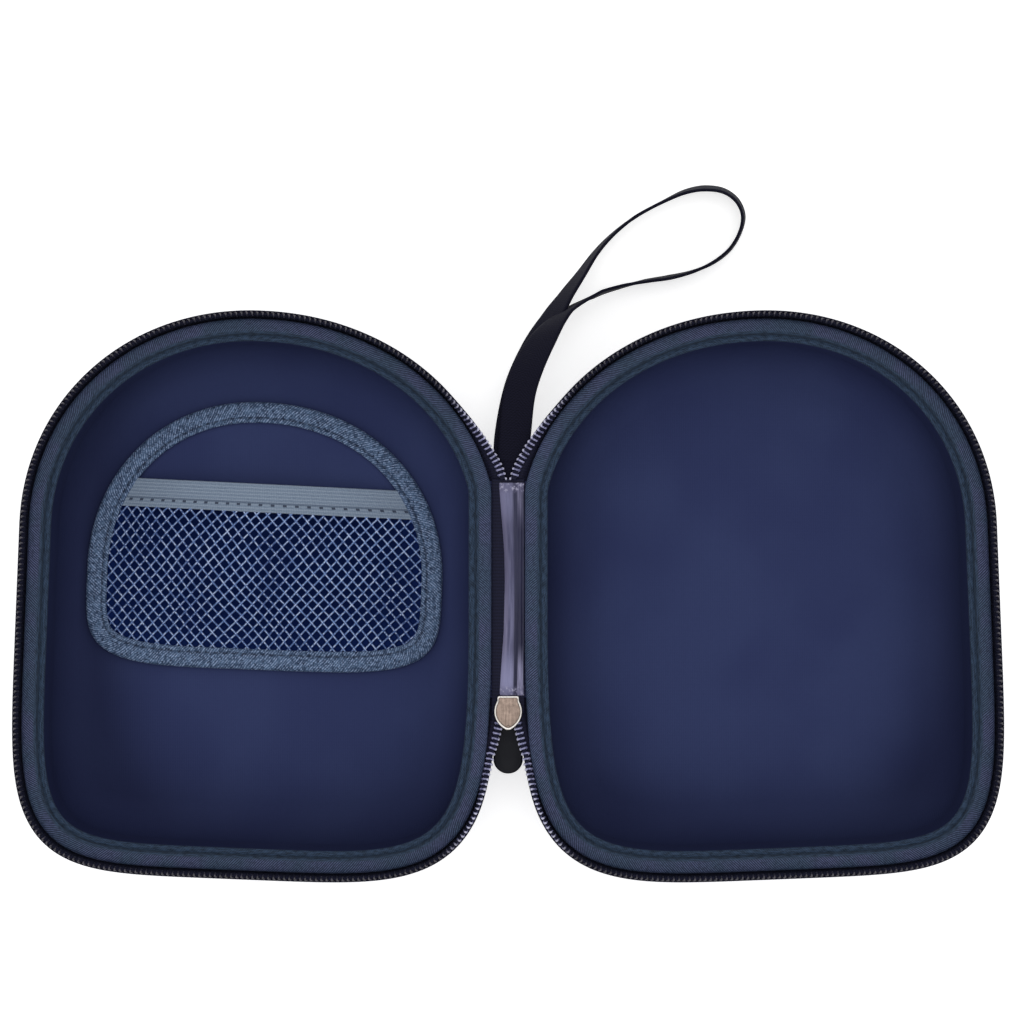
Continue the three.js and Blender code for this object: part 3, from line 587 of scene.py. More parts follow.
def satin():
    """u runs along the spine and v across it, in millimetres. Light and shade are painted on it: a highlight
    along its rolled left edge and near its ends, shade towards the lid's side and along its folds, and glints
    on its hems; it is also darker towards its top end.
    """
    s = Shader("satin")
    u, v = s.run()
    threads = s.noise(s.vector(s.times(u, 0.25), s.times(v, 5.0)), 1.2, 3.0)
    folds = s.noise(s.vector(s.times(u, 0.06), v), 0.9, 3.0, 0.6)
    crumple = s.noise(s.vector(u, v), 0.8, 4.0, 0.7)
    at_hem = s.math("MAXIMUM", s.ramp(u, 2.2, 3.6, 1.0, 0.0), s.ramp(u, 67.4, 68.8))
    # The folds' noise mixes a lighter and a darker satin: painted light and shade along the folds
    color = s.mix(s.ramp(folds, 0.35, 0.65), rgb(78, 78, 108), rgb(114, 114, 146))
    # Painted shade towards the lid's side, where the cover slopes down
    color = s.tint(color, s.ramp(v, 3.1, 4.2, 0.0, 0.95), 20, 22, 48)
    # Painted highlight along the rolled left edge
    color = s.tint(color, s.times(s.ramp(v, 0.9, 1.7, 1.0, 0.0), 0.55), 128, 124, 152)
    # Darker towards the top end
    color = s.tint(color, s.ramp(u, 24.0, 44.0, 0.0, 0.4), 50, 52, 80)
    # Painted highlights near both ends: broad over the left part, and a narrow strip on the right
    near_ends = s.math("MAXIMUM", s.ramp(u, 6.0, 18.0, 1.0, 0.0), s.ramp(u, 54.0, 66.0, 0.0, 0.45))
    lit = s.times(near_ends, s.ramp(v, 3.9, 4.4, 0.65, 0.0))
    color = s.tint(color, lit, 150, 150, 188)
    bright = s.between(v, 5.3, 5.8, 7.3, 7.8)
    bright = s.times(bright, s.times(near_ends, s.ramp(folds, 0.35, 0.55, 0.5, 1.0)))
    color = s.tint(color, bright, 150, 148, 180)
    # Lighter at the hems, with painted glints on their crumples
    color = s.tint(color, s.times(at_hem, 0.4), 96, 94, 124)
    specks = s.times(at_hem, s.ramp(crumple, 0.5, 0.62))
    color = s.tint(color, s.times(specks, 0.8), 176, 174, 200)
    color = s.tint(color, s.times(threads, 0.3), 60, 58, 84)
    height = s.plus(s.times(threads, 0.3), s.plus(folds, s.times(crumple, 0.5)))
    return s.finish(color, 0.34, s.bump(height, 0.3, 0.8), Anisotropic=0.5)


def webbing():
    """u runs along the strap and v across it, in millimetres."""
    s = Shader("strap_webbing")
    u, v = s.run()
    rib = s.wave(s.plus(u, s.times(s.wave(v, 1.3), 0.35)), 0.9)
    chevron = s.wave(s.plus(s.size(s.minus(v, STRAP_WIDTH / 2)), u), 1.2)
    height = s.plus(s.times(rib, 0.5), s.times(chevron, 0.5))
    color = s.mix(s.times(height, 0.7), rgb(7, 7, 19), rgb(21, 21, 42))
    return s.finish(color, 0.8, s.bump(height, 0.15, 0.7), Specular_IOR_Level=0.12)


def slider_metal(bright=False):
    s = Shader("slider_rim_metal" if bright else "slider_metal")
    at = s.place()
    x, y, z = s.split(at)
    brushed = s.noise(s.vector(s.times(x, 3.0), s.times(y, 0.2), z), 1.2, 3.0)
    colors = ((205, 200, 195), (228, 224, 218)) if bright else ((114, 100, 92), (136, 120, 110))
    color = s.mix(s.ramp(brushed, 0.3, 0.7), *(rgb(*c) for c in colors))
    rough = s.ramp(s.noise(at, 0.8, 3.0), 0.3, 0.7, 0.3, 0.42)
    return s.finish(color, rough, s.bump(brushed, 0.01, 0.3), Metallic=1.0)


def rubber():
    s = Shader("pull_rubber")
    at = s.place()
    grain = s.noise(at, 5.0, 3.0, 0.6)
    color = s.mix(s.ramp(grain, 0.3, 0.7), rgb(7, 9, 16), rgb(14, 16, 26))
    return s.finish(color, s.ramp(grain, 0.3, 0.7, 0.5, 0.62), s.bump(grain, 0.03, 0.5))


def dress(piece, material, slot, body, *nodes):
    """Gives a piece its material, puts it on a body, and hides the CAD nodes that it stands for. slot is not
    used.
    """
    piece.data.materials.clear()
    piece.data.materials.append(material)
    if body is not None:
        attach(piece, body)
    if nodes:
        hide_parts(*nodes)


# ---- camera, light and floor

VIEW_CENTRE = (1.3, 28.1)  # mm, under the middle of the picture
VIEW_WIDTH = 342.5  # mm, across the picture at the height of the rims
CAMERA_ABOVE_RIM = 1250  # mm
SENSOR = 36  # mm
LIGHT_PLACE = (0, 0.25, 2)  # m
LIGHT_TARGET = (0, 0, 0.02)  # m
LIGHT_SIZE = 1.1  # m
LIGHT_POWER = 8
WORLD_STRENGTH = 0.8
FLOOR_GLOW = 0.6  # the table is lit from below
FLOOR_REACH = 3000  # mm
FLOOR_GAP = 0.2  # mm under the case


def camera():
    data = bpy.data.cameras.new("camera")
    data.sensor_width = SENSOR
    data.lens = SENSOR * CAMERA_ABOVE_RIM / VIEW_WIDTH
    data.clip_start = 0.05
    data.clip_end = 20
    made = bpy.data.objects.new("camera", data)
    made.location = (VIEW_CENTRE[0] * MM, VIEW_CENTRE[1] * MM, (RIM_Z + CAMERA_ABOVE_RIM) * MM)
    bpy.context.scene.collection.objects.link(made)
    bpy.context.scene.camera = made


def overhead_light():
    data = bpy.data.lights.new("overhead", "AREA")
    data.shape = "RECTANGLE"
    data.size = data.size_y = LIGHT_SIZE
    data.energy = LIGHT_POWER
    made = bpy.data.objects.new("overhead", data)
    aim = unit(np.subtract(LIGHT_PLACE, LIGHT_TARGET))
    right = unit(np.cross((0.0, 1.0, 0.0), aim))
    turn = np.eye(4)
    turn[:3] = np.column_stack([right, np.cross(aim, right), aim, LIGHT_PLACE])
    made.matrix_world = Matrix(turn.tolist())
    bpy.context.scene.collection.objects.link(made)


def surroundings():
    scene = bpy.context.scene
    scene.view_settings.view_transform = "Standard"
    world = bpy.data.worlds.new("world")
    scene.world = world
    world.use_nodes = True
    background = world.node_tree.nodes["Background"]
    background.inputs["Color"].default_value = (1, 1, 1, 1)
    background.inputs["Strength"].default_value = WORLD_STRENGTH
    overhead_light()
    s = Shader("floor_paint")
    mottle = s.noise(s.place(), 0.01, 2.0)
    paint = s.finish(s.mix(mottle, (0.78, 0.78, 0.78, 1), (0.82, 0.82, 0.82, 1)), 0.9, Specular_IOR_Level=0.1,
                     Emission_Color=(1, 1, 1, 1), Emission_Strength=FLOOR_GLOW)
    corners = [(FLOOR_REACH * x, FLOOR_REACH * y, 0) for x, y in ((-1, -1), (1, -1), (1, 1), (-1, 1))]
    floor = mesh_object("floor", corners, [(0, 1, 2, 3)])
    floor.location.z = -FLOOR_GAP * MM
    floor.data.materials.append(paint)


# ---- strap

def strap():
    """Flat webbing on its route, rolled about its own run."""
    steps = 480
    centre = curve_points(STRAP_ROUTE, steps + 1)[:, :3]
    run = unit(np.gradient(centre, axis=0))
    level = unit(np.cross((0, 0, 1), run))
    rise = np.cross(run, level)
    roll = np.radians(np.interp(np.linspace(0, 1, steps + 1), np.linspace(0, 1, len(STRAP_ROUTE)),
                                [p[3] for p in STRAP_ROUTE]))[:, None]
    width = level * np.cos(roll) + rise * np.sin(roll)
    half = STRAP_WIDTH / 2
    section = []
    for side in (1, -1):
        for w in np.linspace(-side * half, side * half, 13):
            edge = abs(w) / half
            thin = 1 if edge < 0.9 else 0.72
            section.append((w * (1 if edge < 1 else 0.985), -side * STRAP_THICKNESS / 2 * thin))
    section = np.array(section)
    rings = rings_about(centre, width, np.cross(run, width), section[:, 0], section[:, 1])
    run = arc_length(centre)
    made = tube("wrist_strap_webbing", rings, run, np.append(section[:, 0], section[0, 0]) + half)
    dress(made, webbing(), "strap", "spine", "wrist_strap")


def strap_root():
    """Both ends of the webbing, sewn one on the other under the spine."""
    low, high = node_box("strap_root")
    u = np.linspace(low[1], high[1] + 1.3, 40)
    side = [(1, -1), (1.015, -0.55), (1, -0.08), (0.985, 0), (1, 0.08), (1.015, 0.55), (1, 1)]
    section = [(-1, -1), (0, -1), *side, (0, 1), (-1, 1), *[(-a, b) for a, b in side[-2:0:-1]]]
    middle, half = (low + high) / 2, (high - low) / 2
    rings = [[(middle[0] + half[0] * a * 0.985, y, middle[2] + half[2] * b) for a, b in section] for y in u]
    made = tube("strap_root_webbing", rings, u, [(a + 1) * half[0] for a, b in section] + [0])
    dress(made, webbing(), "strap", "spine", "strap_root")


# ---- halves

def wall_profile(depth, padding=0):
    """(offset, z) down the wall, from the rim to the flat floor, on the face that lies depth under the skin.

    padding widens the bend at the foot of the wall.
    """
    top = -WALL_INSET - depth
    foot = FLOOR_UP + 0.4 * padding
    straight = [(top - WALL_DRAFT * t, WALL_TOP + (foot - WALL_TOP) * t) for t in np.linspace(0, 1, 7)[:-1]]
    across = FLOOR_OUT - depth + padding
    edge = top - WALL_DRAFT - across
    bend = [(edge + across * math.cos(a), foot - (foot - depth) * math.sin(a))
            for a in np.linspace(0, math.pi / 2, 19)]
    return straight + bend


def wall_rings(loop, depth, padding=0):
    """The wall's rings from the rim down, then the floor's rings, which shrink towards its middle."""
    rings = [loop.at(offset, z) for offset, z in wall_profile(depth, padding)]
    middle = np.append(rings[-1][:, :2].mean(0), depth)
    rings += [middle + (rings[-1] - middle) * k for k in (0.94, 0.85, 0.7, 0.5, 0.3, 0.12)]
    return rings


def bowl(name, outer, inner, mirrored, padding=0):
    """One closed, bowl-shaped layer of a half between two depths."""
    loop = rim_loop(360)
    rings = wall_rings(loop, inner, padding)[::-1] + wall_rings(loop, outer, padding)
    run = arc_length(np.array([r[0] for r in rings]))
    return tube(name, rings, run, loop.run, mirrored=mirrored)


def seam_swell(loop, pitch, drift, scale, seed):
    """The stitches' rate along loop, in radians a millimetre, and a swell from 0 to 1 and back at each.

    Noise lets the stitches drift to and fro.
    """
    stitch = 2 * math.pi * np.round(loop.length / pitch) / loop.length
    count = len(loop.run) - 1
    return stitch, 0.5 + 0.5 * np.cos(stitch * loop.run[:-1] + drift * wander(count, scale, True, seed))


# The binding's section: offset from the rim, height over it, and the run across the tape's face
BINDING_SECTION = (
    (-0.8, -5, -6), (0, -5, -5), (0.1, -3, -3), (0.1, -1.2, -1.2), (0.02, -0.6, -0.6), (-0.2, -0.2, 0),
    (-0.6, 0, 0.6), (-1.4, 0.1, 1.4), (-2.6, 0.14, 2.6), (-3.8, 0.1, 3.8), (-4.5, 0, 4.5), (-4.9, -0.2, 4.9),
    (-5.2, -0.42, 5.2), (-5.5, -0.22, 5.5), (-5.9, 0.02, 5.9), (-6.5, 0.1, 6.5), (-7, 0, 7),
    (-7.35, -0.25, 7.35), (-7.5, -0.7, 7.8), (-7.45, -1.3, 8.4), (-7.3, -1.9, 9), (-7, -2.3, 9.5),
    (-6.5, -2.4, 10), (-6.1, -2, 10.6), (-6.1, -1.1, 11.5), (-0.9, -1.1, 16.7),
)


def binding(prefix, mirrored):
    loop = rim_loop(1500)
    count = len(loop.run) - 1
    _, swell = seam_swell(loop, BINDING_STITCH, 0.9, 60, 3 if mirrored else 4)
    size = 1 + 0.35 * wander(count, 25, True, 5)
    rings = []
    for offset, z, v in BINDING_SECTION:
        lip = hump(v, 6.8, 0.9) * (1 - swell) * size
        lift = -0.2 * hump(v, 5.2, 0.5) * swell * size + 0.16 * lip
        lift += 0.05 * hump(v, 2.6, 2.2) * wander(count, 18, True, 8)
        rings.append(loop.at(offset - 0.1 * lip, RIM_Z + z + lift))
    made = tube(f"{prefix}_binding_tape", np.array(rings).transpose(1, 0, 2), loop.run,
                [s[2] for s in BINDING_SECTION] + [30], closed=True, mirrored=mirrored)
    dress(made, MATERIALS["binding"], "rim_binding", prefix, f"{prefix}_rim_binding")


UP = np.array((0, 0, 1.0))
STANDS_FROM_TOP = (43, 66)  # y where the row starts to turn up onto the rim, and where it is up
STANDS_FROM_FOOT = (50, 72)  # and the same at its foot, as -y
STOOD_ANGLE = 78  # degrees, how far the row's tips turn up where the zipper stands on the rim
STOOD_OUT = 1.75  # and how far they lie outside the rim there
STOOD_UP = 4.9  # and above it
COIL_REACH = 1.15  # half of a coil loop's length, towards the tips
COIL_RISE = 0.62  # half of its thickness
COIL_WIRE = 0.36  # half of the wire's thickness
TAPE_THICKNESS = 0.5


class ZipperRun:
    """Where the base half's zipper row goes: its tips, the way they point, and how far the row stands up."""

    def __init__(self, step):
        """step is the run from each place to the next."""
        loop = rim_loop(4800)
        y = loop.xy[:, 1]
        first = int(np.argmax(y >= TOP_TIPS[0][0]))
        last = len(y) - 1 - int(np.argmax(y[::-1] <= FOOT_TIPS[0][0]))
        keep = slice(first, last + 1)
        xy, normal = loop.xy[keep], loop.normal[keep]
        y = xy[:, 1]
        up_top = smoothstep(np.maximum.accumulate(y), *STANDS_FROM_TOP)
        up_foot = smoothstep(np.maximum.accumulate(-y[::-1])[::-1], *STANDS_FROM_FOOT)
        self.stand = up_top * up_foot
        half = len(y) // 2
        tips = np.where(np.arange(len(y)) < half, np.interp(y, *np.array(TOP_TIPS).T),
                        np.interp(y, *np.array(FOOT_TIPS[::-1]).T))
        reach = (tips - xy[:, 0]) / np.maximum(normal[:, 0], 0.2)
        near_top = int(np.argmax(y > TOP_TIPS[-1][0]))
        near_foot = len(y) - 1 - int(np.argmax(y[::-1] < FOOT_TIPS[-1][0]))
        reach[near_top:half] = reach[near_top]
        reach[half:near_foot + 1] = reach[near_foot]
        angle = np.radians(STOOD_ANGLE) * self.stand
        outward = np.column_stack([normal, np.zeros(len(y))])
        self.tip_way = outward * np.cos(angle)[:, None] + UP * np.sin(angle)[:, None]
        flat = np.column_stack([xy + normal * reach[:, None], np.full(len(y), FOLD_Z)])
        stood = np.column_stack([xy + normal * STOOD_OUT, np.full(len(y), RIM_Z + STOOD_UP)])
        self.tip = flat + (stood - flat) * self.stand[:, None]
        self.rim = np.column_stack([xy, np.zeros(len(y))])
        self.outward = outward
        fine = arc_length(self.tip)
        count = max(2, int(round(fine[-1] / step)) + 1)
        self.run = np.linspace(0, fine[-1], count)
        for name in ("stand", "tip", "tip_way", "rim", "outward"):
            old = getattr(self, name)
            new = (np.interp(self.run, fine, old) if old.ndim == 1 else
                   np.stack([np.interp(self.run, fine, old[:, k]) for k in range(3)], -1))
            setattr(self, name, new)
        self.tip_way = unit(self.tip_way)
        self.along = unit(np.gradient(self.tip, axis=0))
        self.tip_way = unit(self.tip_way - self.along * (self.tip_way * self.along).sum(1)[:, None])
        self.face = np.cross(self.along, self.tip_way)
        self.rise = COIL_RISE * (1 - 0.35 * self.stand)[:, None]
        self.wire = COIL_WIRE * (1 - 0.2 * self.stand)[:, None]
        self.centre = self.tip - self.tip_way * (COIL_REACH + COIL_WIRE)


def zipper_coil(prefix, mirrored):
    """One wire wound along the row, with 16 points to a turn."""
    way = ZipperRun(COIL_PITCH / 16)
    turn = 2 * math.pi * way.run / COIL_PITCH
    c = np.cos(turn)
    turned = (turn / (2 * math.pi)) % 1
    shift = COIL_PITCH * (smoothstep(turned, 0, 0.5) - turned)  # only the hidden legs run along the row
    reach = COIL_REACH * squared(c, 0.7)
    rise = way.rise * squared(np.sin(turn), 0.6)[:, None]
    wire = way.centre + way.tip_way * reach[:, None] + way.face * rise + way.along * shift[:, None]
    ahead = unit(np.gradient(wire, axis=0))
    side = unit(np.cross(ahead, way.along + 1e-3))
    other = np.cross(ahead, side)
    head = 1 + 0.35 * np.clip(c, 0, 1) ** 6  # the wire is pressed wider where it hooks
    a = around(6)
    rings = rings_about(wire, side, other, np.cos(a) * way.wire, np.sin(a) * way.wire * head[:, None])
    return tube(f"{prefix}_zipper_teeth", rings, way.run, np.linspace(0, 2.2, 7), mirrored=mirrored)


def zipper_core(prefix, mirrored):
    """The dark cord that the coil is wound on."""
    way = ZipperRun(0.6)
    a = around(12)
    wide = squared(np.cos(a), 0.6) * (COIL_REACH - 0.9 * COIL_WIRE)
    rings = rings_about(way.centre, way.tip_way, -way.face, wide, np.sin(a) * (way.rise - 0.7 * way.wire))
    return tube(f"{prefix}_zipper_core", rings, way.run, np.linspace(0, 4.6, 13), mirrored=mirrored)


def zipper_tape(prefix, mirrored):
    """The cloth from its seam on the wall up to the coil's back: straight spans, smoothed."""
    way = ZipperRun(0.8)
    w = way.stand[:, None]
    back = way.centre + way.face * (way.rise + way.wire + 0.18)
    knots = np.stack([
        way.rim + way.outward * (0.05 - 1.3 * w) + UP * (33.2 - 3.7 * w),  # sewn to the wall
        way.rim + way.outward * (0.25 + 0.25 * w) + UP * (34.2 - 1.2 * w),  # clear of it
        back - way.tip_way * (COIL_REACH + 1.4),
        back - way.tip_way * (COIL_REACH + 0.4),
        back - way.tip_way * 0.4,
        back + way.tip_way * (COIL_REACH - 0.5),
    ], 1)
    places = np.linspace(0, len(knots[0]) - 1, 21)
    k = np.minimum(places.astype(int), knots.shape[1] - 2)
    t = (places - k)[None, :, None]
    line = knots[:, k] * (1 - t) + knots[:, k + 1] * t
    for _ in range(3):
        line[:, 1:-1] = (line[:, :-2] + 2 * line[:, 1:-1] + line[:, 2:]) / 4
    across = unit(np.gradient(line, axis=1))
    thick = np.cross(way.along[:, None], across) * TAPE_THICKNESS / 2
    thick[:, 0] *= 0.6
    thick[:, -1] *= 0.55
    rings = np.concatenate([line + thick, (line - thick)[:, ::-1]], 1)
    v = arc_length(line[len(line) // 2])
    return tube(f"{prefix}_zipper_cloth", rings, way.run, both_faces(v), mirrored=mirrored)


def zipper(prefix, side):
    ends = [f"zipper_{end}_end_{prefix}_side" for end in ("foot", "top")]
    for make, material, slot, nodes in (
            (zipper_core, "zipper_cloth", "zipper_tape", []),
            (zipper_tape, "sewn_tape", "zipper_tape", [f"{prefix}_zipper_tape"]),
            (zipper_coil, "coil", "zipper_coil", [f"{prefix}_zipper_coil", *ends])):
        made = make(prefix, side > 0)
        dress(made, MATERIALS[material], slot, None, *nodes)
        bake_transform(made)


def half(prefix, side):
    mirrored = side > 0
    shell = bowl(f"{prefix}_shell", 0, FOAM_DEPTH, mirrored)
    dress(shell, MATERIALS["outer"], "outer_fabric", prefix, f"{prefix}_outer_skin", f"{prefix}_foam_shell")
    lining = bowl(f"{prefix}_lining_jersey", *LINING, mirrored, padding=CORNER_PADDING)
    dress(lining, MATERIALS["lining"], "lining", prefix, f"{prefix}_lining")
    binding(prefix, mirrored)
    zipper(prefix, side)


# ---- spine

UNDER_SLIDER = 6.1  # mm that the spine's fabric runs on between the zipper's ends, under the slider
SATIN_ENDS = (-33.3, 37.9)


def spine_fabric():
    """The outer fabric under the spine, and a fold of it up to each half."""
    low, high = node_box("spine_outer_fabric")
    middle, half = (low + high) / 2, (high - low) / 2
    u = np.linspace(low[1] - UNDER_SLIDER, high[1] + 1.6, 84)
    section = np.array([(-1, -0.8), (-0.97, -1), (0, -1), (0.97, -1), (1, -0.8), (1, 0.8), (0.97, 1),
                        (0.5, 1), (0, 1), (-0.5, 1), (-0.97, 1), (-1, 0.8)])
    height = middle[2] + 0.15 * smoothstep(-u, 32.5, 33.3)  # it clears the slider's lower plate
    rings = [[(middle[0] + half[0] * a, y, z + half[2] * b) for a, b in section] for y, z in zip(u, height)]
    made = tube("spine_fabric", rings, u, arc_length(np.vstack([section, section[:1]]) * half[[0, 2]]))
    # The outer fabric under the spine wears the darker zipper cloth: painted shade in the gap beside the satin
    dress(made, MATERIALS["zipper_cloth"], "outer_fabric", "spine", "spine_outer_fabric")
    line = np.array([(7.4, 30.5), (7.1, 33.2), (6.6, 34.8), (5.9, 35.3), (5.2, 35.05), (4.6, 34.95)])
    outer = line + (0, -0.35) + np.array((0.25, 0)) * (line[:, :1] > 6)
    ring = np.vstack([line, outer[::-1]])
    for prefix, side in (("base", -1), ("lid", 1)):
        rings = [[(x * side, y, z) for x, z in ring] for y in np.linspace(low[1] - 1, high[1] + 1, 60)]
        run = np.linspace(0, 72, len(rings))
        fold = tube(f"spine_fold_{prefix}", rings, run, both_faces(arc_length(line)))
        dress(fold, MATERIALS["outer"], "outer_fabric", None)
        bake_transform(fold)


def spine_satin():
    """The wrinkled cover over the spine: hemmed at both ends, its left edge rolled under."""
    foot, head = SATIN_ENDS
    y = np.linspace(foot, head, 220)
    mid = (y - foot) / (head - foot)
    left = -2.9 + 1.75 * np.sin(np.pi * np.clip(mid, 0, 1)) ** 1.3 + 0.12 * wander(len(y), 30, seed=21)
    right = 5.35 + 0.05 * wander(len(y), 18, seed=22)
    t = np.linspace(0, 1, 46)
    x = left[:, None] + (right - left)[:, None] * t ** 0.9
    ends = hump(mid, 0.02, 0.2) + hump(mid, 0.98, 0.2)
    folds = np.zeros_like(x)
    for place, width, height, seed in ((3.1, 0.45, 0.5, 31), (4.4, 0.4, 0.42, 32), (1.4, 0.7, 0.15, 33),
                                       (0.1, 0.6, 0.1, 34)):
        drift = place + 0.5 * wander(len(y), 60, seed=seed) + 0.5 * (mid - 0.5)
        folds += height * hump(x, drift[:, None], width) * (0.25 + 0.9 * ends)[:, None]
    roll = 0.95 * (1 - np.exp(-t * 9))
    z = FOLD_Z - 0.15 + roll - 0.75 * t ** 1.2 + folds * 0.75
    z -= 0.18 * (hump(y, foot, 1.1) + hump(y, head, 1.4))[:, None]  # the hems
    z = np.minimum(z, FOLD_Z + 1.35 - 1.5 * smoothstep(x, 3.8, 4.7))
    top = np.dstack([x, np.broadcast_to(y[:, None], x.shape), z])
    made = tube("spine_satin_cover", slab(top, 0.3), y - y[0], both_faces(t * 8))
    dress(made, MATERIALS["satin"], "spine_satin", "spine", "spine_inner_cover")


# ---- pocket

def pocket_reach(y, inset, side):
    """The pocket's width at height y, to one side of its middle, in its own frame."""
    y = np.asarray(y, float)
    widest = np.where(np.asarray(side) < 0, POCKET["left"], POCKET["right"])
    reach = np.where(y > 0, POCKET["rise"], POCKET["drop"]) - inset
    power = np.where(y > 0, POCKET["rise_power"], POCKET["drop_power"])
    height = np.minimum(1, np.abs(y) / reach)
    return (widest - inset) * (1 - height ** power) ** (1 / power)


def slack(x, y):
    """How far the pocket's sheet stands up, from 0 at the sewn edge to 1 in the middle of its mouth."""
    foot = -POCKET["drop"] + SEWN
    across = np.maximum(0, 1 - (x / np.maximum(pocket_reach(y, SEWN, x), 0.1)) ** 2)
    along = np.clip((y - foot) / (BAND_Y - foot), 0, 1)
    return across * np.sin(along * math.pi / 2)


def pocket_place(x, y):
    """Pocket coordinates to the case's, with the rows tilted as the band is."""
    tilt = BAND_SLOPE * np.clip((y + POCKET["drop"]) / (BAND_Y + POCKET["drop"]), 0, 1)
    return placed(np.stack([x, y - tilt * x], -1), POCKET["x"], POCKET["y"], POCKET["lean"])


def value_noise(x, y, scale, seed):
    """Smooth noise over a plane, about -1 to 1."""
    own = np.random.default_rng(seed)
    table = own.uniform(-1, 1, (64, 64))
    gx, gy = np.asarray(x) / scale + 20, np.asarray(y) / scale + 20
    ix, iy = np.floor(gx).astype(int), np.floor(gy).astype(int)
    tx, ty = smoothstep(gx - ix, 0, 1), smoothstep(gy - iy, 0, 1)

    def cell(a, b):
        return table[a % 64, b % 64]

    return ((cell(ix, iy) * (1 - tx) + cell(ix + 1, iy) * tx) * (1 - ty)
            + (cell(ix, iy + 1) * (1 - tx) + cell(ix + 1, iy + 1) * tx) * ty)


NET_X, NET_Y = 1.87, 2.18  # half of a mesh opening's width and height
NET_WIRE = 0.38
KNOT_PULL = 0.02  # how much the threads turn to run side by side through a knot


def pocket_net():
    """Diamond mesh: two families of threads that cross in knots, caught at their ends in the pocket's edge."""
    points, faces = [], []
    steps = 4  # on a thread, from one knot to the next
    sides = 8
    a = around(sides)
    foot = -POCKET["drop"]
    caught = 5.2  # from the pocket's outline in
    for family in (1, -1):
        for k in range(-60, 61, 2):
            j = np.arange(int(foot / NET_Y) - 1, int(BAND_Y / NET_Y) + 2, 1 / steps)
            x = (k + family * (j - KNOT_PULL * np.sin(2 * math.pi * j))) * NET_X
            y = j * NET_Y
            x = x + 0.55 * value_noise(x, y, 16, 41) + 1.5 * value_noise(x, y, 34, 42)
            y = y + 0.45 * value_noise(x, y, 15, 43) + 1.0 * value_noise(x, y, 38, 44)
            within = (np.abs(x) < pocket_reach(y, caught, x)) & (y > foot + 5.0) & (y < BAND_Y + 1.0)
            inside = np.flatnonzero(within)
            if len(inside) < 3:
                continue
            cut = slice(inside[0], inside[-1] + 1)
            x, y, size = x[cut], y[cut], NET_WIRE * (1 + 0.22 * np.cos(math.pi * j[cut]) ** 2)
            over = 0.12 * family * np.cos(math.pi * np.arange(len(x)) / steps)
            line = np.column_stack([pocket_place(x, y), SHEET_Z + 0.3 + BULGE * slack(x, y) + over])
            ahead = unit(np.gradient(line, axis=0))
            side = unit(np.cross(ahead, UP))
            wide, high = (wave * size[:, None] for wave in (np.cos(a), np.sin(a)))
            rings = rings_about(line, side, np.cross(side, ahead), wide, high)
            faces += [[len(points) + r * sides + c % sides for r, c in face]
                      for face in tube_corners(len(line), sides)]
            points += rings.reshape(-1, 3).tolist()
    return mesh_object("pocket_net", points, faces)


def pocket_band():
    """Ribbed elastic across the pocket's mouth, its lower edge turned over the net."""
    y = BAND_Y + np.append(np.linspace(-0.6, 2.4, 8), np.linspace(2.8, 9.2, 15))
    t = np.linspace(-1, 1, 160)
    rows = []
    for row, place in enumerate(y):
        x = t * pocket_reach(place, 4.6, t)
        wave = 0.22 * value_noise(x, place, 7, 51) + 0.1 * value_noise(x, place * 3, 2.4, 52)
        hem = 0.28 if place < BAND_Y + 2.2 else 0.0
        edge = -0.35 if row in (0, len(y) - 1) else 0.0
        z = SHEET_Z + 0.75 + BULGE * slack(x, min(place, BAND_Y)) + wave * 0.6 + hem + edge
        rows.append(np.column_stack([pocket_place(x, np.full_like(x, place)), z]))
    rings = slab(np.array(rows).transpose(1, 0, 2), 0.55)
    return tube("pocket_elastic", rings, (t + 1) * 52, both_faces(y - y[0]))


# The pocket binding's section: offset from its outline, height over the pocket's floor, run across its face
TRIM_SECTION = (
    (-0.6, 0, -2), (0, 0.2, -1.5), (0.1, 1.2, -0.6), (0, 2, 0), (-0.4, 2.55, 0.6), (-1, 2.8, 1.2),
    (-2, 2.95, 2.2), (-3.2, 2.95, 3.4), (-4.2, 2.88, 4.4), (-4.9, 2.72, 5.1), (-5.25, 2.5, 5.45),
    (-5.6, 2.72, 5.8), (-6.2, 2.85, 6.4), (-6.7, 2.7, 6.9), (-7, 2.3, 7.3), (-6.9, 1.9, 7.8), (-0.9, 1.9, 14),
)


def pocket_ring():
    loop = pocket_loop(1100)
    u = loop.run[:-1]
    stitch, swell = seam_swell(loop, TAPE_STITCH, 1.2, 50, 61)
    size = 1 + 0.4 * wander(len(u), 22, True, 62)
    rings = []
    for offset, z, v in TRIM_SECTION:
        lip = hump(v, 6.5, 0.7) * (1 - swell)
        lift = -0.22 * hump(v, 5.4, 0.6) * swell * size + 0.14 * lip * size
        lift += 0.1 * hump(v, 1.2, 1.6) * np.cos(stitch * 1.5 * u + 2 * wander(len(u), 30, True, 63))
        rings.append(loop.at(offset - 0.12 * lip, POCKET_FLOOR + z + lift))
    return tube("pocket_trim_tape", np.array(rings).transpose(1, 0, 2), loop.run,
                [s[2] for s in TRIM_SECTION] + [20], closed=True)


